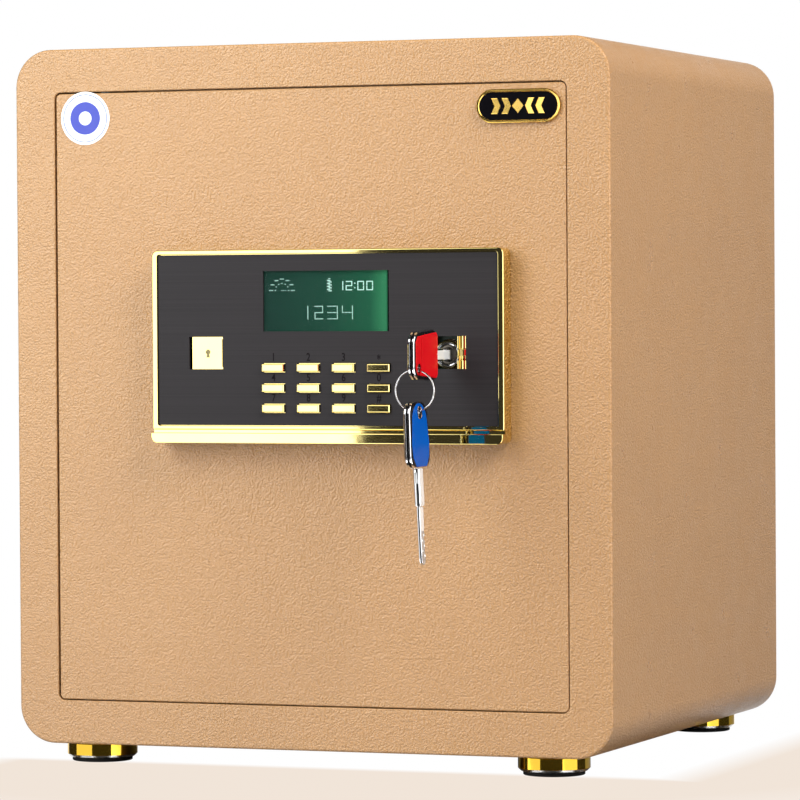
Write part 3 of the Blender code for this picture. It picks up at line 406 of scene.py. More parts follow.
def mat_on_floor():
    """Felt mat that lies on the floor, a little uneven, as cut felt lies."""
    low, high = node_box("floor_mat")
    across, back = 44, 40
    corner = 0.012
    thick = high.z - low.z
    bm = bmesh.new()
    grid = {}
    for level in (0, 1):
        for i in range(across + 1):
            for j in range(back + 1):
                x = low.x + (high.x - low.x) * i / across
                y = low.y + (high.y - low.y) * j / back
                edge_x = min(i, across - i) / across * (high.x - low.x)
                edge_y = min(j, back - j) / back * (high.y - low.y)
                if edge_x < corner and edge_y < corner:
                    reach = math.hypot(corner - edge_x, corner - edge_y)
                    if reach > corner:
                        pull = corner / reach
                        x += (corner - edge_x) * (1 - pull) * (1 if i < across / 2 else -1)
                        y += (corner - edge_y) * (1 - pull) * (1 if j < back / 2 else -1)
                wave = 0.5 + 0.25 * math.sin(31 * x + 7 * y) + 0.25 * math.sin(23 * y - 11 * x + 1.3)
                soft = min(1.0, min(edge_x, edge_y) / 0.002)
                top = low.z + thick * (0.72 + 0.22 * wave) * (0.8 + 0.2 * soft)
                grid[level, i, j] = bm.verts.new(world(x, y, top if level else low.z))
    for i in range(across):
        for j in range(back):
            for level, order in ((1, (0, 1, 2, 3)), (0, (3, 2, 1, 0))):
                ring = [(i, j), (i + 1, j), (i + 1, j + 1), (i, j + 1)]
                bm.faces.new([grid[level, ring[k][0], ring[k][1]] for k in order])
    rim = [(i, 0) for i in range(across)] + [(across, j) for j in range(back)]
    rim += [(i, back) for i in range(across, 0, -1)] + [(0, j) for j in range(back, 0, -1)]
    for (i, j), (k, l) in zip(rim, rim[1:] + rim[:1]):
        bm.faces.new([grid[0, i, j], grid[0, k, l], grid[1, k, l], grid[1, i, j]])
    felt = make("felt_mat", bm, [FELT], "cabinet", ["floor_mat"], smooth=50)


def foot(name):
    """Gold cup with a bright chamfer, and its rubber pad with a moulded step."""
    low, high = node_box(f"foot_{name}")
    pad_low, pad_high = node_box(f"foot_pad_{name}")
    middle = (low + high) / 2
    cup_r = (high.x - low.x) / 2
    pad_r = (pad_high.x - pad_low.x) / 2
    at = (middle.x, middle.y, 0.0)
    chamfer = 0.0018
    bm = bmesh.new()
    top = [(high.z, 0.004), (high.z, cup_r - 0.0003), (high.z - 0.0003, cup_r)]
    side = [(high.z - 0.0003, cup_r), (low.z + chamfer + 0.0001, cup_r), (low.z + chamfer, cup_r - 0.00005)]
    cut = [(low.z + chamfer, cup_r - 0.00005), (low.z + 0.0001, cup_r - chamfer)]
    inside = [(low.z + 0.0001, cup_r - chamfer), (low.z, cup_r - chamfer - 0.0002), (low.z, pad_r + 0.0005),
              (low.z + 0.0012, pad_r + 0.0003), (low.z + 0.0012, 0.004)]
    whole = top + side[1:] + cut[1:] + inside[1:]
    turned(bm, "Z", at, whole, 96, closed=True, bands=(4, 5))
    make(f"foot_cup_{name}", bm, [DEEP_GOLD, TURNED_STEEL], "cabinet", [f"foot_{name}"], smooth=25)
    bm = bmesh.new()
    profile = [(pad_high.z, pad_r), (pad_low.z + 0.0011, pad_r), (pad_low.z + 0.0010, pad_r - 0.0004),
               (pad_low.z + 0.0008, pad_r - 0.0004), (pad_low.z + 0.0007, pad_r), (pad_low.z + 0.0004, pad_r)]
    profile += [(pad_low.z, pad_r - 0.0005), (pad_low.z, 0.007), (pad_low.z + 0.0008, 0.0062)]
    turned(bm, "Z", at, profile, 72)
    make(f"foot_rubber_{name}", bm, [RUBBER], "cabinet", [f"foot_pad_{name}"], smooth=25)


# ---------------------------------------------------------------- keypad panel


def panel_sizes():
    low, high = node_box("panel_bezel")
    lip = 0.0028
    return low.x, high.x, low.z, high.z, low.y + lip, lip


def bezel():
    """Gold die-cast bezel: rounded rim, inner chamfer, shadow groove and grip lip."""
    left, right, low, high, front, lip = panel_sizes()
    plate_low, plate_high = node_box("face_plate")
    well = (plate_low.x - FIT, plate_high.x + FIT, plate_low.z - FIT, plate_high.z + FIT)
    groove = (low + 0.0066, low + 0.0084)
    sunk = front + 0.0022
    back = node_box("panel_bezel")[1].y
    seam = 0.00012
    base = bmesh.new()
    wide = (left, right, low, high)
    plate_back = plate_high.y + FIT
    corner, well_corner = 0.004, 0.0015
    loops = [ring_at(wide, corner, seam, y) for y in (sunk, back)]
    ledge = [(0.0, back), (0.0, plate_back + 0.0015), (0.0025, plate_back + 0.0015), (0.0025, plate_back),
             (0.0, plate_back), (0.0, sunk)]
    loops += [ring_at(well, well_corner, by, y) for by, y in ledge]
    loft(base, loops, closed=True)
    rim = bmesh.new()
    frame_rect = (left, right, groove[1], high)
    corners = (corner, corner, 0.0009, 0.0009)
    root = sunk + 0.0008
    loops = [ring_at(frame_rect, corners, 0.0, root)]
    loops += [ring_at(frame_rect, corners, by, front + d) for by, d in reversed(fillet(0.0010, 5))]
    chamfer = 0.0005
    inner = ((-chamfer, front), (-chamfer + 0.0002, front + 0.00004), (0.0, front + 0.0009), (0.0, root))
    loops += [ring_at(well, well_corner, by, y) for by, y in inner]
    loft(rim, loops, closed=True)
    grip = bmesh.new()
    lip_rect = (left, right, low, groove[0])
    corners = (0.0006, 0.0006, corner, corner)
    profile = [(by, front - lip + d) for by, d in fillet(0.0007, 4)] + [(0.0, root)]
    layers(grip, lip_rect, corners, profile)
    make("keypad_bezel", base, [GOLD], "door", ["panel_bezel"], joins=[rim, grip], smooth=28)


def key_cap(name):
    """One keypad cap: bevelled edge, a shallow dished face, and its flange and stem behind."""
    low, high = node_box(f"keypad_key_{name}")
    plate_low, plate_high = node_box("face_plate")
    middle = (low + high) / 2
    wide, tall = 0.0150, 0.0051
    rect = (middle.x - wide / 2, middle.x + wide / 2, middle.z - tall / 2, middle.z + tall / 2)
    front = low.y
    behind = plate_high.y + FIT
    bm = bmesh.new()
    profile = [(0.00085, front + 0.00016), (0.00072, front + 0.00004), (0.0006, front), (0.00048, front + 0.00003),
               (0.00008, front + 0.00042), (0.0, front + 0.0006), (0.0, behind), (-0.001, behind),
               (-0.001, behind + 0.001), (-0.0002, behind + 0.001)]
    layers(bm, rect, 0.0005, profile, steps=4)
    stem = bmesh.new()
    block(stem, middle.x - 0.003, middle.x + 0.003, behind + 0.0005, high.y, middle.z - 0.0015, middle.z + 0.0015,
          0.0001)
    make(f"key_cap_{name}", bm, [GOLD], f"key_{name}", [f"keypad_key_{name}"], joins=[stem], smooth=25)


def lettering(bm, text, size, x, y, z, narrow=0.78):
    """Thin raised figures that face the front, centred on a local point."""
    curve = bpy.data.curves.new("figure", "FONT")
    curve.body = text
    curve.size = size
    curve.extrude = 0.00001
    curve.offset = 0.00010
    curve.align_x = "CENTER"
    curve.align_y = "CENTER"
    obj = bpy.data.objects.new("figure", curve)
    bpy.context.scene.collection.objects.link(obj)
    bpy.context.view_layer.update()
    mesh = bpy.data.meshes.new_from_object(obj.evaluated_get(bpy.context.evaluated_depsgraph_get()))
    turn = Matrix(((narrow, 0, 0, x), (0, 0, 1, FRONT + y), (0, 1, 0, BASE + z), (0, 0, 0, 1)))
    mesh.transform(turn)
    bm.from_mesh(mesh)
    bpy.data.objects.remove(obj)
    bpy.data.meshes.remove(mesh)


def keypad_figures():
    """Printed figures above the keys."""
    bm = bmesh.new()
    surface = node_box("face_plate")[0].y
    figures = {"star": "*", "hash": "#"}
    for name in ("1", "2", "3", "star", "4", "5", "6", "0", "7", "8", "9", "hash"):
        low, high = node_box(f"keypad_key_{name}")
        drop = -0.0012 if name == "star" else 0.0
        lettering(bm, figures.get(name, name), 0.0070, (low.x + high.x) / 2, surface - 0.00002,
                  (low.z + high.z) / 2 + 0.0064 + drop)
    make("keypad_figures", bm, [DARK_INK], "door", smooth=20)


SEGMENTS = {"0": "abcdef", "1": "bc", "2": "abged", "3": "abgcd", "4": "fgbc"}


def lit_dots(digit, columns, rows):
    """Dots (column, row) of a digit drawn with the usual seven segments, a at the top and g in the middle."""
    across, upper, lower = range(columns), range(rows // 2 + 1), range(rows // 2, rows)
    dots = {"a": [(c, 0) for c in across], "g": [(c, rows // 2) for c in across], "d": [(c, rows - 1) for c in across],
            "f": [(0, r) for r in upper], "b": [(columns - 1, r) for r in upper],
            "e": [(0, r) for r in lower], "c": [(columns - 1, r) for r in lower]}
    return sorted({dot for segment in SEGMENTS[digit] for dot in dots[segment]})


def display_marks():
    """Lit marks of the display: a placeholder number and time, a battery and a gauge."""
    bm = bmesh.new()
    window_low, window_high = node_box("display_window")
    left, top = window_low.x, window_high.z
    y0 = window_high.y + 0.00002
    y1 = y0 + 0.00005

    def mark(x0, x1, z0, z1):
        flat_shape(bm, (y0, y1), [(x0, z0), (x1, z0), (x1, z1), (x0, z1)])

    def spot(x, z, half_wide, half_tall):
        mark(x - half_wide, x + half_wide, z - half_tall, z + half_tall)

    dot = 0.00054
    for digit, start, wide in (("1", 22.5, 6.7), ("2", 34.0, 5.1), ("3", 42.6, 6.3), ("4", 52.3, 6.7)):
        for c, r in lit_dots(digit, 8, 11):
            x = left + (start + wide * c / 7) * MM
            z = top - (21.8 + 7.8 * r / 10) * MM
            spot(x, z, dot / 2, dot / 2)
    thick, tall, wide, ease = 0.00062, 0.0058, 0.0044, 0.00010
    z1 = top - 0.0062
    z0, zm = z1 - tall, z1 - tall / 2
    for digit, start in (("1", 48.6), ("2", 54.6), ("0", 62.4), ("0", 68.4)):
        x0 = left + start * MM
        x1 = x0 + wide
        bars = {"a": (x0, x1, z1 - thick, z1), "g": (x0, x1, zm - thick / 2, zm + thick / 2),
                "d": (x0, x1, z0, z0 + thick), "f": (x0, x0 + thick, zm, z1), "b": (x1 - thick, x1, zm, z1),
                "e": (x0, x0 + thick, z0, zm), "c": (x1 - thick, x1, z0, zm)}
        for segment in SEGMENTS[digit]:
            a, b, c, d = bars[segment]
            along, up = (ease, 0.0) if segment in "agd" else (0.0, ease)
            mark(a + along, b - along, c + up, d - up)
    for drop in (0.0076, 0.0104):
        spot(left + 0.06065, top - drop, 0.00035, 0.00035)
    x = left + 0.0437
    for i in range(8):
        z = top - 0.0058 - i * 0.00092
        shift = 0.0005 * (1 if i % 2 else -1)
        spot(x + shift, z, 0.0011, 0.00030)
    spot(x, top - 0.0047, 0.0008, 0.0002)
    centre_x, centre_z = left + 0.0119, top - 0.0118
    for i in range(7):
        angle = math.radians(180 * i / 6)
        cx, cz = centre_x + 0.0074 * math.cos(angle), centre_z + 0.0071 * math.sin(angle)
        for step in (-0.0009, 0.0, 0.0009):
            spot(cx + step, cz, 0.00028, 0.00030)
        cx, cz = centre_x + 0.0045 * math.cos(angle), centre_z + 0.0044 * math.sin(angle)
        spot(cx, cz, 0.0003, 0.0003)
    for i in range(3):
        spot(centre_x - 0.0001 + i * 0.0012, centre_z, 0.0003, 0.0002)
    make("display_marks", bm, [MARK], "door", smooth=20)
    glow = surface(MARK).inputs
    glow["Emission Color"].default_value = (0.55, 0.90, 0.76, 1)
    glow["Emission Strength"].default_value = 0.32


def display():
    """Display panel behind its window: darker on the left, glowing towards the right edge, with a painted band of
    shade along the very right edge.
    """
    low, high = node_box("display_module")
    window_low, window_high = node_box("display_window")
    bm = bmesh.new()
    block(bm, low.x, high.x, low.y, high.y, low.z, high.z, 0.0002)
    make("display_panel", bm, [LCD], "door", ["display_module"])
    # The last stop turns the strip along the right edge black: painted shade where the window's recess darkens the
    # display.
    stops = [(0.0, (0.0066, 0.022, 0.016)), (0.5, (0.0080, 0.036, 0.022)), (0.85, (0.0100, 0.062, 0.031)),
             (0.985, (0.026, 0.150, 0.066)), (1.0, (0.0, 0.0, 0.0))]
    glow = surface(LCD).inputs
    LCD.node_tree.links.new(along_x(LCD, stops, window_low.x, window_high.x - 0.0009), glow["Emission Color"])
    glow["Emission Strength"].default_value = 0.55
    bm = bmesh.new()
    edge = fillet(0.00015, 2)
    profile = [(by, window_low.y + d) for by, d in edge] + [(0.0, window_high.y - 0.00003)]
    layers(bm, (window_low.x, window_high.x, window_low.z, window_high.z), 0.0006, profile, steps=3)
    make("display_glass", bm, [GLASS], "door", ["display_window"])


def closed_cover():
    """Closed keyhole cover: plain face with a finger groove at its inner end and a keyhole symbol."""
    low, high = node_box("keyhole_cover_left")
    middle = (low.z + high.z) / 2
    bm = bmesh.new()
    edge = fillet(0.0003, 3)
    profile = [(by, low.y + d) for by, d in edge] + [(by, high.y - d) for by, d in reversed(edge)]
    layers(bm, (low.x, high.x, low.z, high.z), 0.0010, profile, steps=4)
    groove = bmesh.new()
    block(groove, high.x - 0.0013, high.x - 0.0006, low.y - 0.001, low.y + 0.0007, middle - 0.0088, middle + 0.0088,
          0.0001)
    make("sliding_cover_left", bm, [GOLD], "left_cover", ["keyhole_cover_left"], cuts=[groove], smooth=30)
    bm = bmesh.new()
    x, z = (low.x + high.x) / 2, middle + 0.0006
    head, foot, half = 0.0016, 0.0034, 0.0012
    turn = [math.radians(-60 + 300 * i / 24) for i in range(25)]
    keyhole = [(head * math.cos(a), head * math.sin(a)) for a in turn] + [(-half, -foot), (half, -foot)]
    flat_shape(bm, (low.y - 0.00003, low.y + 0.00002), [(x + a, z + b) for a, b in keyhole])
    make("cover_symbol", bm, [ENGRAVED], "left_cover", smooth=20)


def open_cover():
    """Open keyhole cover: its inner end has three upright ribs, notched at mid height."""
    low, high = node_box("keyhole_cover_right")
    middle = (low.z + high.z) / 2
    section = [(0.0, 0.0018), (0.0, 0.0005), (0.0002, 0.00012), (0.0006, 0.0), (0.0011, 0.00015), (0.0014, 0.0012),
               (0.0027, 0.0012), (0.0030, 0.0003), (0.0033, 0.00008), (0.0038, 0.0), (0.0041, 0.0002),
               (0.0043, 0.0011), (0.0047, 0.0011), (0.0049, 0.0003), (0.0052, 0.00008), (0.0057, 0.0),
               (0.0061, 0.0003), (0.0063, 0.0006)]
    wide = high.x - low.x
    section += [(wide - 0.0003, 0.0006), (wide, 0.0009), (wide, 0.0018)]
    bm = bmesh.new()
    loft(bm, [[world(low.x + x, low.y + y, z) for x, y in section] for z in (low.z, high.z)])
    notch = bmesh.new()
    block(notch, low.x + 0.0008, low.x + 0.0058, low.y - 0.001, low.y + 0.0012, middle - 0.0022, middle + 0.0022,
          0.0004)
    make("sliding_cover_right", bm, [GOLD], "right_cover", ["keyhole_cover_right"], cuts=[notch], smooth=26)


# ---------------------------------------------------------------- badge and sticker


def badge():
    """Stadium badge: polished rim, black enamel field, and a plain raised ornament."""
    low, high = node_box("badge")
    rect = (low.x, high.x, low.z, high.z)
    r = (high.z - low.z) / 2
    bm = bmesh.new()
    rim = 0.0018
    profile = [(0.0, high.y), (0.0, low.y + 0.0007), (0.0002, low.y + 0.00025), (0.00055, low.y),
               (0.0014, low.y + 0.0001), (rim, low.y + 0.0005), (rim, low.y + 0.0008)]
    layers(bm, rect, r, profile, steps=20)
    make("badge_plate", bm, [ORNAMENT], "door", ["badge"], smooth=30)
    bm = bmesh.new()
    field = low.y + 0.0006
    profile = [(rim + 0.0004, field), (rim + 0.0002, field + 0.00005), (rim + 0.00012, field + 0.00018)]
    layers(bm, rect, r, profile, steps=20)
    make("badge_enamel", bm, [BLACK_GLOSS], "door", smooth=30)
    bm = bmesh.new()
    x, z = (low.x + high.x) / 2, (low.z + high.z) / 2
    y0, y1 = field - 0.00045, field + 0.00002

    def raised(points, lean=0.0):
        """Raised shape with eased edges; lean tips its face."""
        middle = (sum(p[0] for p in points) / len(points), sum(p[1] for p in points) / len(points))
        slim = [(a + (middle[0] - a) * 0.09, b + (middle[1] - b) * 0.09) for a, b in points]

        def tip(a):
            return lean * (a - middle[0])

        loft(bm, [[world(x + a, y0 + tip(a), z + b) for a, b in slim],
                  [world(x + a, y0 + 0.00018 + tip(a), z + b) for a, b in points],
                  [world(x + a, y1, z + b) for a, b in points]])

    t = 0.0048
    raised([(0.0, t), (-0.0040, 0.0), (0.0, -t), (0.0040, 0.0)], -0.05)
    for sign, lean in ((-1, -0.03), (1, -0.085)):
        for near in (0.0066, 0.0134):
            raised([(sign * near, t), (sign * (near + 0.0040), t), (sign * (near + 0.0018), 0.0),
                    (sign * (near + 0.0040), -t), (sign * near, -t), (sign * (near - 0.0022), 0.0)], lean)
    make("badge_ornament", bm, [ORNAMENT], "door", smooth=20)


def ring_flat(bm, centre, outer, inner, y0, y1, sides=72):
    """Flat ring that faces the front."""
    section = ((outer, y0), (outer, y1), (inner, y1), (inner, y0))
    loops = []
    for i in range(sides):
        angle = math.radians(360 * i / sides)
        loops.append([world(centre[0] + radius * math.cos(angle), y, centre[1] + radius * math.sin(angle))
                      for radius, y in section])
    loft(bm, loops, closed=True)


def sticker():
    """Round vinyl sticker at the top left of the door, printed with plain circles."""
    x, z, r = -0.1511, 0.3988, 0.0169
    bm = bmesh.new()
    turned(bm, "Y", (x, 0.0, z), [(-0.00002, r), (-0.00012, r), (-0.00016, r - 0.0001)], 96)
    make("door_sticker", bm, [WHITE_VINYL], "door", smooth=30)
    y0, y1 = -0.00019, -0.00015
    for name, ink, outer, inner in (("rim", PALE_INK, 0.0153, 0.0147), ("print", BLUE_INK, 0.0104, 0.0044)):
        bm = bmesh.new()
        ring_flat(bm, (x, z), outer, inner, y0, y1)
        make(f"sticker_{name}", bm, [ink], "door", smooth=30)


# ---------------------------------------------------------------- locks and keys


def lock():
    """Gold-collared cylinder with a chrome face and its turning plug, and the second lock."""
    low, high = node_box("main_lock_body")
    middle = (low + high) / 2
    r, bore = 0.0087, 0.0063
    at = (middle.x, 0.0, middle.z)
    front = low.y
    flange = [(0.0103, r), (0.0103, r + 0.004), (0.0063, r + 0.004), (0.0063, r), (front + 0.0003, r)]

    def keyway(y0, y1):
        """Cutter for the slot that takes the blade."""
        slot = bmesh.new()
        block(slot, at[0] - 0.00145, at[0] + 0.00145, y0, y1, at[2] - 0.0039, at[2] + 0.0039, 0.0001)
        return slot

    bm = bmesh.new()
    profile = [(high.y, bore), (high.y, r)] + flange
    profile += [(front, r - 0.0003), (front, r - 0.0006), (front + 0.0002, r - 0.0008),
                (front + 0.0004, r - 0.0011), (front + 0.0014, bore + 0.0006), (front + 0.0015, bore)]
    turned(bm, "Y", at, profile, 80, closed=True, bands=(9, 10, 11))
    make("lock_cylinder", bm, [GOLD, CHROME], "door", ["main_lock_body"], smooth=28)
    bm = bmesh.new()
    plug_low, plug_high = node_box("lock_plug")
    pr = 0.0060
    face = plug_low.y
    back = 0.033
    profile = [(face, pr - 0.0006), (face + 0.0002, pr - 0.0001), (face + 0.0006, pr), (back, pr), (back, 0.0035),
               (plug_high.y, 0.0035)]
    turned(bm, "Y", at, [(face + 0.0006, 0.0040), (face, 0.0046)] + profile, 64)
    cam = bmesh.new()
    block(cam, at[0] - 0.003, at[0] + 0.003, back + 0.001, back + 0.003, at[2] - 0.014, at[2], 0.0004)
    make("turning_plug", bm, [PLUG_STEEL], "lock_plug", ["lock_plug"], joins=[cam], cuts=[keyway(face - 0.01, 0.0295)],
         smooth=28)
    low, high = node_box("second_lock")
    middle = (low + high) / 2
    at = (middle.x, 0.0, middle.z)
    bm = bmesh.new()
    profile = [(high.y, r)] + flange
    profile += [(front, r - 0.0004), (front, r - 0.0008), (front + 0.0016, bore), (front + 0.0012, bore - 0.0004)]
    turned(bm, "Y", at, profile, 64)
    make("spare_lock", bm, [CHROME], "door", ["second_lock"], cuts=[keyway(front - 0.01, 0.020)], smooth=28)


def key(prefix, plastic, place, hole, insert, body, eyelet):
    """A key: chrome core framed in black, coloured inserts, a collar and a cut blade.

    place(u, w, v) maps along the key, through it and across it to a world point.
    """
    length, width, thick = 0.040, 0.032, 0.0054
    half = thick / 2

    def bow(by):
        """Outline that narrows a little towards the outer end."""
        corners = outline((0.0, length, -width / 2, width / 2), 0.0085, by, 10)
        return [(u, v * (1 - 0.14 * (1 - u / length) ** 2)) for u, v in corners]

    def around(u, v, radius, w, sides=28):
        turns = [2 * math.pi * i / sides for i in range(sides)]
        return [place(u + radius * math.cos(a), w, v + radius * math.sin(a)) for a in turns]

    def drill(radius):
        tool = bmesh.new()
        loft(tool, [around(*hole, radius, w) for w in (-thick, thick)])
        return tool

    levels = [(0.0009, 0.0021), (0.0003, 0.0020), (0.0, 0.0017), (0.0, 0.0008), (0.0003, 0.0006), (0.0011, 0.0005)]
    levels = [(by, -w) for by, w in levels] + [(by, w) for by, w in reversed(levels)]
    bm = bmesh.new()
    loft(bm, [[place(u, w, v) for u, v in bow(by)] for by, w in levels], bands=(4, 5, 6))
    make(f"{prefix}_key_core", bm, [CHROME, KEY_BLACK], body, [f"{prefix}_bow"], cuts=[drill(0.00275)], smooth=30)
    for side, sign in (("a", 1), ("b", -1)):
        bm = bmesh.new()
        levels = ((0.0007, 0.0020), (0.0007, half - 0.0003), (0.0010, half - 0.0001), (0.0016, half - 0.00005))
        loft(bm, [[place(u, sign * w, v) for u, v in bow(by)] for by, w in levels])
        make(f"{prefix}_key_frame_{side}", bm, [KEY_BLACK], body, cuts=[drill(0.0031)], smooth=30)
        bm = bmesh.new()
        levels = ((0.0, half - 0.0002), (0.0, half), (0.0003, half + 0.0002), (0.0010, half + 0.0003))
        loft(bm, [[place(u, sign * w, v) for u, v in insert(by)] for by, w in levels])
        tools = [drill(0.0031)]
        if eyelet:
            ring = bmesh.new()
            shape = ((0.0040, half - 0.0001), (0.0040, half + 0.0004), (0.0036, half + 0.0006),
                     (0.0031, half + 0.0004), (0.0030, half - 0.0001))
            loft(ring, [around(*hole, radius, sign * w, 36) for radius, w in shape], closed=True)
            make(f"{prefix}_key_eyelet_{side}", ring, [CHROME], body, smooth=40)
        else:
            line = bmesh.new()
            corners = ((0.0100, -0.0105), (0.0104, -0.0105), (0.0104, 0.0105), (0.0100, 0.0105))
            loft(line, [[place(u, sign * w, v) for u, v in corners] for w in (half + 0.00005, half + 0.001)])
            tools.append(line)
        make(f"{prefix}_key_insert_{side}", bm, [plastic], body, cuts=tools, smooth=35)
    start = length + FIT
    neck = start + 0.0234
    tip = neck + 0.035

    def section(u, wide, deep, ease, nick=0.0):
        """Cross-section with rounded corners, cut back at one edge by nick."""
        a, b = wide / 2, deep / 2
        corners = ((a - nick, b, -1, -1), (-a, b, 1, -1), (-a, -b, 1, 1), (a - nick, -b, -1, 1))
        shape = []
        for quarter, (v, w, to_v, to_w) in enumerate(corners):
            for i in range(5):
                turn = math.radians(90 * (quarter + i / 4))
                shape.append((v + to_v * ease + ease * math.cos(turn), w + to_w * ease + ease * math.sin(turn)))
        return [place(u, w, v) for v, w in shape]

    bm = bmesh.new()
    rows = [section(start, 0.0072, 0.0038, 0.0014), section(start + 0.0005, 0.0080, 0.0045, 0.0019),
            section(neck - 0.0024, 0.0080, 0.0045, 0.0019), section(neck - 0.0008, 0.0069, 0.0036, 0.0010),
            section(neck - 0.0006, 0.0056, 0.0017, 0.0003), section(neck - 0.0001, 0.0056, 0.0017, 0.0003),
            section(neck + 0.0002, 0.0070, 0.0022, 0.0008)]
    cuts = (0.0, 0.0, 0.0005, 0.0, 0.0011, 0.0002, 0.0015, 0.0004, 0.0009, 0.0002, 0.0013, 0.0002)
    for i, nick in enumerate(cuts):
        rows.append(section(neck + 0.0060 + i * 0.0021, 0.0070, 0.0022, 0.0008, nick))
    rows += [section(tip - 0.0030, 0.0067, 0.0022, 0.0008), section(tip - 0.0012, 0.0054, 0.0018, 0.0004),
             section(tip - 0.0003, 0.0034, 0.0013, 0.0002), section(tip, 0.0022, 0.0008, 0.0001)]
    loft(bm, rows)
    slot = bmesh.new()
    loft(slot, [[place(u, w, v) for u, w in ((start + 0.0022, -0.0009), (start + 0.0090, -0.0009),
                                             (start + 0.0090, 0.0009), (start + 0.0022, 0.0009))]
                for v in (-0.0050, -0.0030)])
    pits = bmesh.new()
    for i in range(5):
        for sign in (-1, 1):
            u, v = neck + 0.0170 + i * 0.0031, 0.0016 * (-1) ** i
            loft(pits, [around(u, v, radius, sign * w, 14) for radius, w in ((0.0012, 0.0016), (0.0004, 0.0004))])
    origin = place(0.0, 0.0, 0.0)
    across = (place(0.0, 0.0, 1.0) - origin).normalized()
    along = (place(1.0, 0.0, 0.0) - origin).normalized()
    # Faces that face across the blade, its narrow edges, take chrome. The broad sides keep the pale key_shank finish
    # as a painted highlight, and faces past nicks_start take the key_cuts finish.
    edge_facing, nicks_start = 0.35, neck + 0.015
    bm.normal_update()
    for face in bm.faces:
        if abs(face.normal.dot(across)) > edge_facing:
            face.material_index = 1
        elif (face.calc_center_median() - origin).dot(along) > nicks_start:
            face.material_index = 2
    make(f"{prefix}_key_shank", bm, [SHANK, CHROME, NICKED], body, [f"{prefix}_blade"], cuts=[slot, pits],
         smooth=24)


def keys():
    """Key in the lock, split ring, and the spare key that hangs from it, leaning a little."""
    low, high = node_box("inserted_key_bow")
    x, tip_y = (low.x + high.x) / 2, low.y
    z = (low.z + high.z) / 2
    ring_low, ring_high = node_box("key_ring")
    ring = (ring_low + ring_high) / 2
    spare_low, spare_high = node_box("spare_key_bow")
    spare_y = (spare_low.y + spare_high.y) / 2
    lean, hole = math.radians(2.8), (0.0065, 0.0)
    shoulder = 0.0019
    hole_z = spare_high.z - hole[0] * math.cos(lean) - shoulder * math.sin(lean)

    def in_lock(u, w, v):
        return world(x + w, tip_y + u, z + v)

    def hanging(u, w, v):
        down = u - hole[0]
        return world(x + w * math.cos(lean) + down * math.sin(lean), spare_y + v,
                     hole_z - down * math.cos(lean) + w * math.sin(lean))

    def mirrored(points):
        return points + [(u, -v) for u, v in reversed(points)]

    def red_insert(by):
        """Insert with cut corners that widens towards the lock."""
        return mirrored([(0.0014 + by, 0.0082 - by), (0.0046 + by, 0.0116 - by), (0.0200, 0.0130 - by),
                         (0.0365 - by, 0.0140 - by), (0.0390 - by, 0.0122 - by)])

    def blue_insert(by):
        """Insert with an arched top and a drawn-in foot."""
        arch = [(0.0125 - (0.0117 - by) * math.cos(a), (0.0124 - by) * math.sin(a))
                for a in (math.radians(3 + 87 * i / 9) for i in range(10))]
        return mirrored(arch + [(0.0260, 0.0144 - by), (0.0340 - by, 0.0130 - by), (0.0392 - by, 0.0088 - by)])

    key("inserted_key", RED, in_lock, (0.0065, -0.0078), red_insert, "inserted_key", False)
    key("spare_key", BLUE, hanging, hole, blue_insert, "spare_key", True)
    coil = bmesh.new()
    wire = 0.00042
    radius = (ring_high.x - ring_low.x) / 2 - wire
    turns, steps, sides = 1.94, 150, 10
    loops = []
    for i in range(steps + 1):
        angle = math.radians(80) + 2 * math.pi * turns * i / steps
        shift = (i / steps - 0.5) * 2 * wire * 0.98
        loop = []
        for j in range(sides):
            around = 2 * math.pi * j / sides
            out = radius + wire * math.cos(around)
            loop.append(world(ring.x + out * math.cos(angle), ring.y + shift + wire * 0.92 * math.sin(around),
                              ring.z + out * math.sin(angle)))
        loops.append(loop)
    loft(coil, loops)
    make("split_ring", coil, [CHROME], "key_ring", ["key_ring"], smooth=60)


# ---------------------------------------------------------------- inside


def screws():
    """Pan-head cross screws that hold the door's back cover and the hinge-side bar."""
    low, high = node_box("door_back_cover")
    inset = 0.008
    spots = []
    for x in (low.x + inset, (low.x + high.x) / 2, high.x - inset):
        for z in (low.z + inset, high.z - inset):
            spots.append((x, high.y, z))
    for x in (low.x + inset, high.x - inset):
        spots.append((x, high.y, (low.z + high.z) / 2))
    bm = bmesh.new()
    wide_slot = bmesh.new()
    tall_slot = bmesh.new()
    for x, y, z in spots:
        dome = [(-0.0001, 0.0030), (0.0006, 0.0030), (0.0012, 0.0026), (0.0016, 0.0018), (0.0018, 0.0008)]
        turned(bm, "Y", (x, y, z), dome, 28)
        block(wide_slot, x - 0.0017, x + 0.0017, y + 0.0008, y + 0.003, z - 0.0003, z + 0.0003, 0.00005)
        block(tall_slot, x - 0.0003, x + 0.0003, y + 0.0008, y + 0.003, z - 0.0017, z + 0.0017, 0.00005)
    make("cover_screws", bm, [STEEL], "door", cuts=[wide_slot, tall_slot], smooth=35)


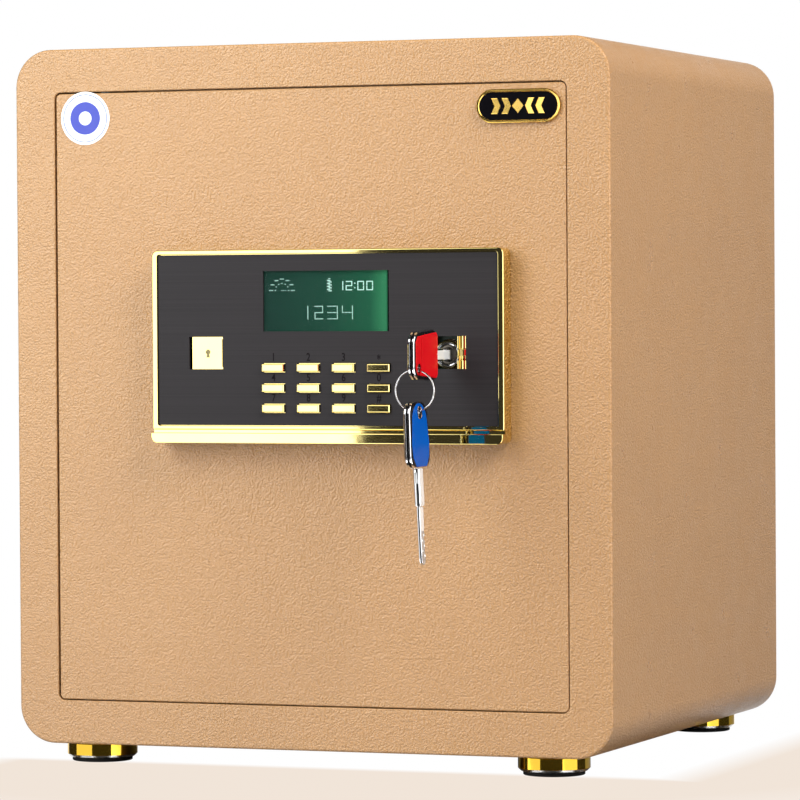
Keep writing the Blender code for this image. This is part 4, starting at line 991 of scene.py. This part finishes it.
def dress_cad_nodes():
    """Give the carried-over CAD solids their finishes and eased edges."""
    finishes = {
        COAT: ("back_panel", "door_plate"),
        INNER: ("door_jamb", "shelf", "door_tray", "door_back_cover"),
        STEEL: ("hinge_pin_top", "hinge_pin_bottom", "dead_bar", "bolt_bar", "drive_gear"),
        TURNED_STEEL: ("bolt_bottom", "bolt_middle", "bolt_top"),
        BLACK_METAL: ("face_plate",),
        BLACK_PLASTIC: ("battery_holder", "battery_cover", "motor_gearbox"),
        BOARD: ("circuit_board",),
        SLEEVE: ("battery_cell_1", "battery_cell_2", "battery_cell_3", "battery_cell_4"),
        RED: ("reset_button",),
    }
    widths = {"face_plate": 0.00015, "door_plate": 0.0003, "circuit_board": 0.0001, "drive_gear": 0.0001,
              "bolt_bar": 0.00025, "hinge_pin_top": 0.0003, "hinge_pin_bottom": 0.0003, "back_panel": 0.0002}
    for mat, names in finishes.items():
        for name in names:
            obj = nodes[name]
            if not obj.data.materials:
                obj.data.materials.append(mat)
            for slot_item in obj.material_slots:
                slot_item.material = mat
            ease_edges(obj, widths.get(name, 0.0003))


# ---------------------------------------------------------------- studio


def camera():
    """Long lens, slightly above the middle, to the right of the front."""
    turn, rise, roll = (math.radians(a) for a in (20.958, 1.192, -0.3495))
    back = Vector((math.sin(turn) * math.cos(rise), -math.cos(turn) * math.cos(rise), math.sin(rise)))
    right = (-back).cross(Vector((0, 0, 1))).normalized()
    up = right.cross(-back)
    right, up = (right * math.cos(roll) + up * math.sin(roll), up * math.cos(roll) - right * math.sin(roll))
    data = bpy.data.cameras.new("camera")
    data.sensor_width = 36
    distance, data.lens = 2.8281, 205.2
    data.clip_end = 100
    obj = bpy.data.objects.new("camera", data)
    target = Vector((0.0621, FRONT, 0.2320))
    basis = Matrix((right, up, back)).transposed().to_4x4()
    obj.matrix_world = Matrix.Translation(target + back * distance) @ basis
    bpy.context.scene.collection.objects.link(obj)
    bpy.context.scene.camera = obj


def area_light(name, at, aim, size, radiance, glossy=True, diffuse=True, colour=(1.0, 1.0, 1.0)):
    """Softbox of a given surface radiance, aimed at a point."""
    data = bpy.data.lights.new(name, "AREA")
    data.shape = "RECTANGLE"
    data.size, data.size_y = size
    data.energy = radiance * math.pi * size[0] * size[1]
    data.color = colour
    obj = bpy.data.objects.new(name, data)
    obj.location = at
    obj.rotation_mode = "QUATERNION"
    obj.rotation_quaternion = (Vector(aim) - Vector(at)).to_track_quat("-Z", "Y")
    obj.visible_camera = False
    obj.visible_glossy = glossy
    obj.visible_diffuse = diffuse
    bpy.context.scene.collection.objects.link(obj)


def studio():
    """Two upright softboxes with a dark gap between them, three fills and two cards."""
    left_aim, right_aim = (-0.393, 0.059), (0.0, -0.55)
    for name, radiance, low, high in (("low", 1.15, 0.0, 0.13), ("high", 2.6, 0.13, 1.7)):
        middle = (low + high) / 2
        area_light(f"left_{name}", (-0.85, -0.83, middle), (*left_aim, middle), (1.164, high - low), radiance,
                   diffuse=False)
        area_light(f"right_{name}", (1.16, -0.55, middle), (*right_aim, middle), (1.10, high - low),
                   radiance * 1.2, diffuse=False)
    area_light("left_fill", (-0.9, -1.6, 0.95), (0.0, 0.0, 0.25), (1.5, 1.5), 4.9, glossy=False)
    area_light("sky_fill", (-0.45, -0.75, 0.85), (-0.15, FRONT, 0.42), (0.5, 0.5), 5.5, glossy=False,
               colour=(0.60, 0.85, 1.0))
    area_light("right_fill", (1.5, -0.7, 1.75), (0.0, 0.0, 0.3), (1.3, 1.3), 14.2, glossy=False)
    area_light("back_card", (-0.9, 1.6, 0.45), (-0.2, 0.0, 0.45), (2.6, 1.2), 1.0, diffuse=False)
    area_light("side_card", (1.05, 1.9, 0.5), (0.2, 0.0, 0.3), (1.7, 1.4), 0.28, diffuse=False)


def backdrop():
    """White to the camera; a dim warm room to everything else."""
    bpy.context.scene.world, tree = new_tree(bpy.data.worlds, "studio")
    tree.nodes.clear()
    seen = add_node(tree, "Background", Color=(1, 1, 1, 1), Strength=1.0)
    room = add_node(tree, "Background", Strength=0.16)
    dim = add_node(tree, "Background", Strength=0.04)
    path = add_node(tree, "LightPath")
    around = add_node(tree, "MixShader")
    mix = add_node(tree, "MixShader")
    output = add_node(tree, "OutputWorld")
    for background in (room, dim):
        background.inputs["Color"].default_value = (1.0, 0.97, 0.93, 1)
    link(tree, around, path.outputs["Is Glossy Ray"], room.outputs[0], dim.outputs[0])
    link(tree, mix, path.outputs["Is Camera Ray"], around.outputs[0], seen.outputs[0])
    link(tree, output, mix.outputs[0])


def ground_plane():
    """Wide floor: white to the camera with a soft warm painted reflection of the safe in front of and beside it, a
    mirror to reflections, matt to the rest.
    """
    ground = bmesh.new()
    size = 14.0
    corners = [ground.verts.new((a * size, b * size, 0.0)) for a, b in ((-1, -1), (1, -1), (1, 1), (-1, 1))]
    ground.faces.new(corners)
    floor = bpy.data.objects.new("floor", as_mesh("floor", ground))
    bpy.context.scene.collection.objects.link(floor)
    mat, tree = new_tree(bpy.data.materials, "pale_floor")
    tree.nodes.clear()
    matt = add_node(tree, "BsdfDiffuse", Color=(0.45, 0.45, 0.45, 1))
    white = add_node(tree, "Emission", Color=(1, 1, 1, 1), Strength=1.0)
    shine = add_node(tree, "BsdfGlossy", Color=(1, 1, 1, 1), Roughness=0.03)
    # The warm emission is a painted reflection: the safe's faint warm reflection in the floor, drawn for camera rays
    # only.
    warm = add_node(tree, "Emission", Color=(0.88, 0.78, 0.69, 1), Strength=1.0)
    path = add_node(tree, "LightPath")
    coords = add_node(tree, "NewGeometry").outputs["Position"]
    place = add_node(tree, "SeparateXYZ", Vector=coords)
    beside = add_node(tree, "MapRange", Value=place.outputs["X"], From_Min=HALF + 0.02, From_Max=HALF + 0.055)
    before = add_node(tree, "MapRange", Value=place.outputs["Y"], From_Min=FRONT + 0.022, From_Max=FRONT + 0.004)
    open_floor = add_node(tree, "Math", operation="MAXIMUM")
    link(tree, open_floor, beside.outputs["Result"], before.outputs["Result"])
    # Where the painted reflection shows: in front of the safe or to its right, not past its left side, fading out with
    # distance.
    inside = add_node(tree, "MapRange", Value=place.outputs["X"], From_Min=-HALF - 0.03, From_Max=-HALF)
    painted_reflection_pool = add_node(tree, "Math", operation="MULTIPLY")
    link(tree, painted_reflection_pool, open_floor.outputs[0], inside.outputs["Result"])
    share = add_node(tree, "Math", operation="MULTIPLY")
    far = add_node(tree, "VectorMath", operation="LENGTH")
    link(tree, far, coords)
    fade = add_node(tree, "MapRange", Value=far.outputs["Value"], From_Min=0.34, From_Max=0.62, To_Min=1.0, To_Max=0.0)
    link(tree, share, painted_reflection_pool.outputs[0], fade.outputs["Result"])
    seen = add_node(tree, "MixShader")
    link(tree, seen, share.outputs[0], white.outputs[0], warm.outputs[0])
    unseen = add_node(tree, "MixShader")
    link(tree, unseen, path.outputs["Is Glossy Ray"], matt.outputs[0], shine.outputs[0])
    mix = add_node(tree, "MixShader")
    link(tree, mix, path.outputs["Is Camera Ray"], unseen.outputs[0], seen.outputs[0])
    link(tree, add_node(tree, "OutputMaterial"), mix.outputs[0])
    floor.data.materials.append(mat)
    bpy.context.scene.view_settings.view_transform = "Standard"


camera()
cabinet()
mat_on_floor()
for corner in ("fl", "fr", "bl", "br"):
    foot(corner)
bezel()
for figure in ("1", "2", "3", "star", "4", "5", "6", "0", "7", "8", "9", "hash"):
    key_cap(figure)
keypad_figures()
display()
display_marks()
closed_cover()
open_cover()
badge()
sticker()
lock()
keys()
screws()
dress_cad_nodes()
studio()
backdrop()
ground_plane()
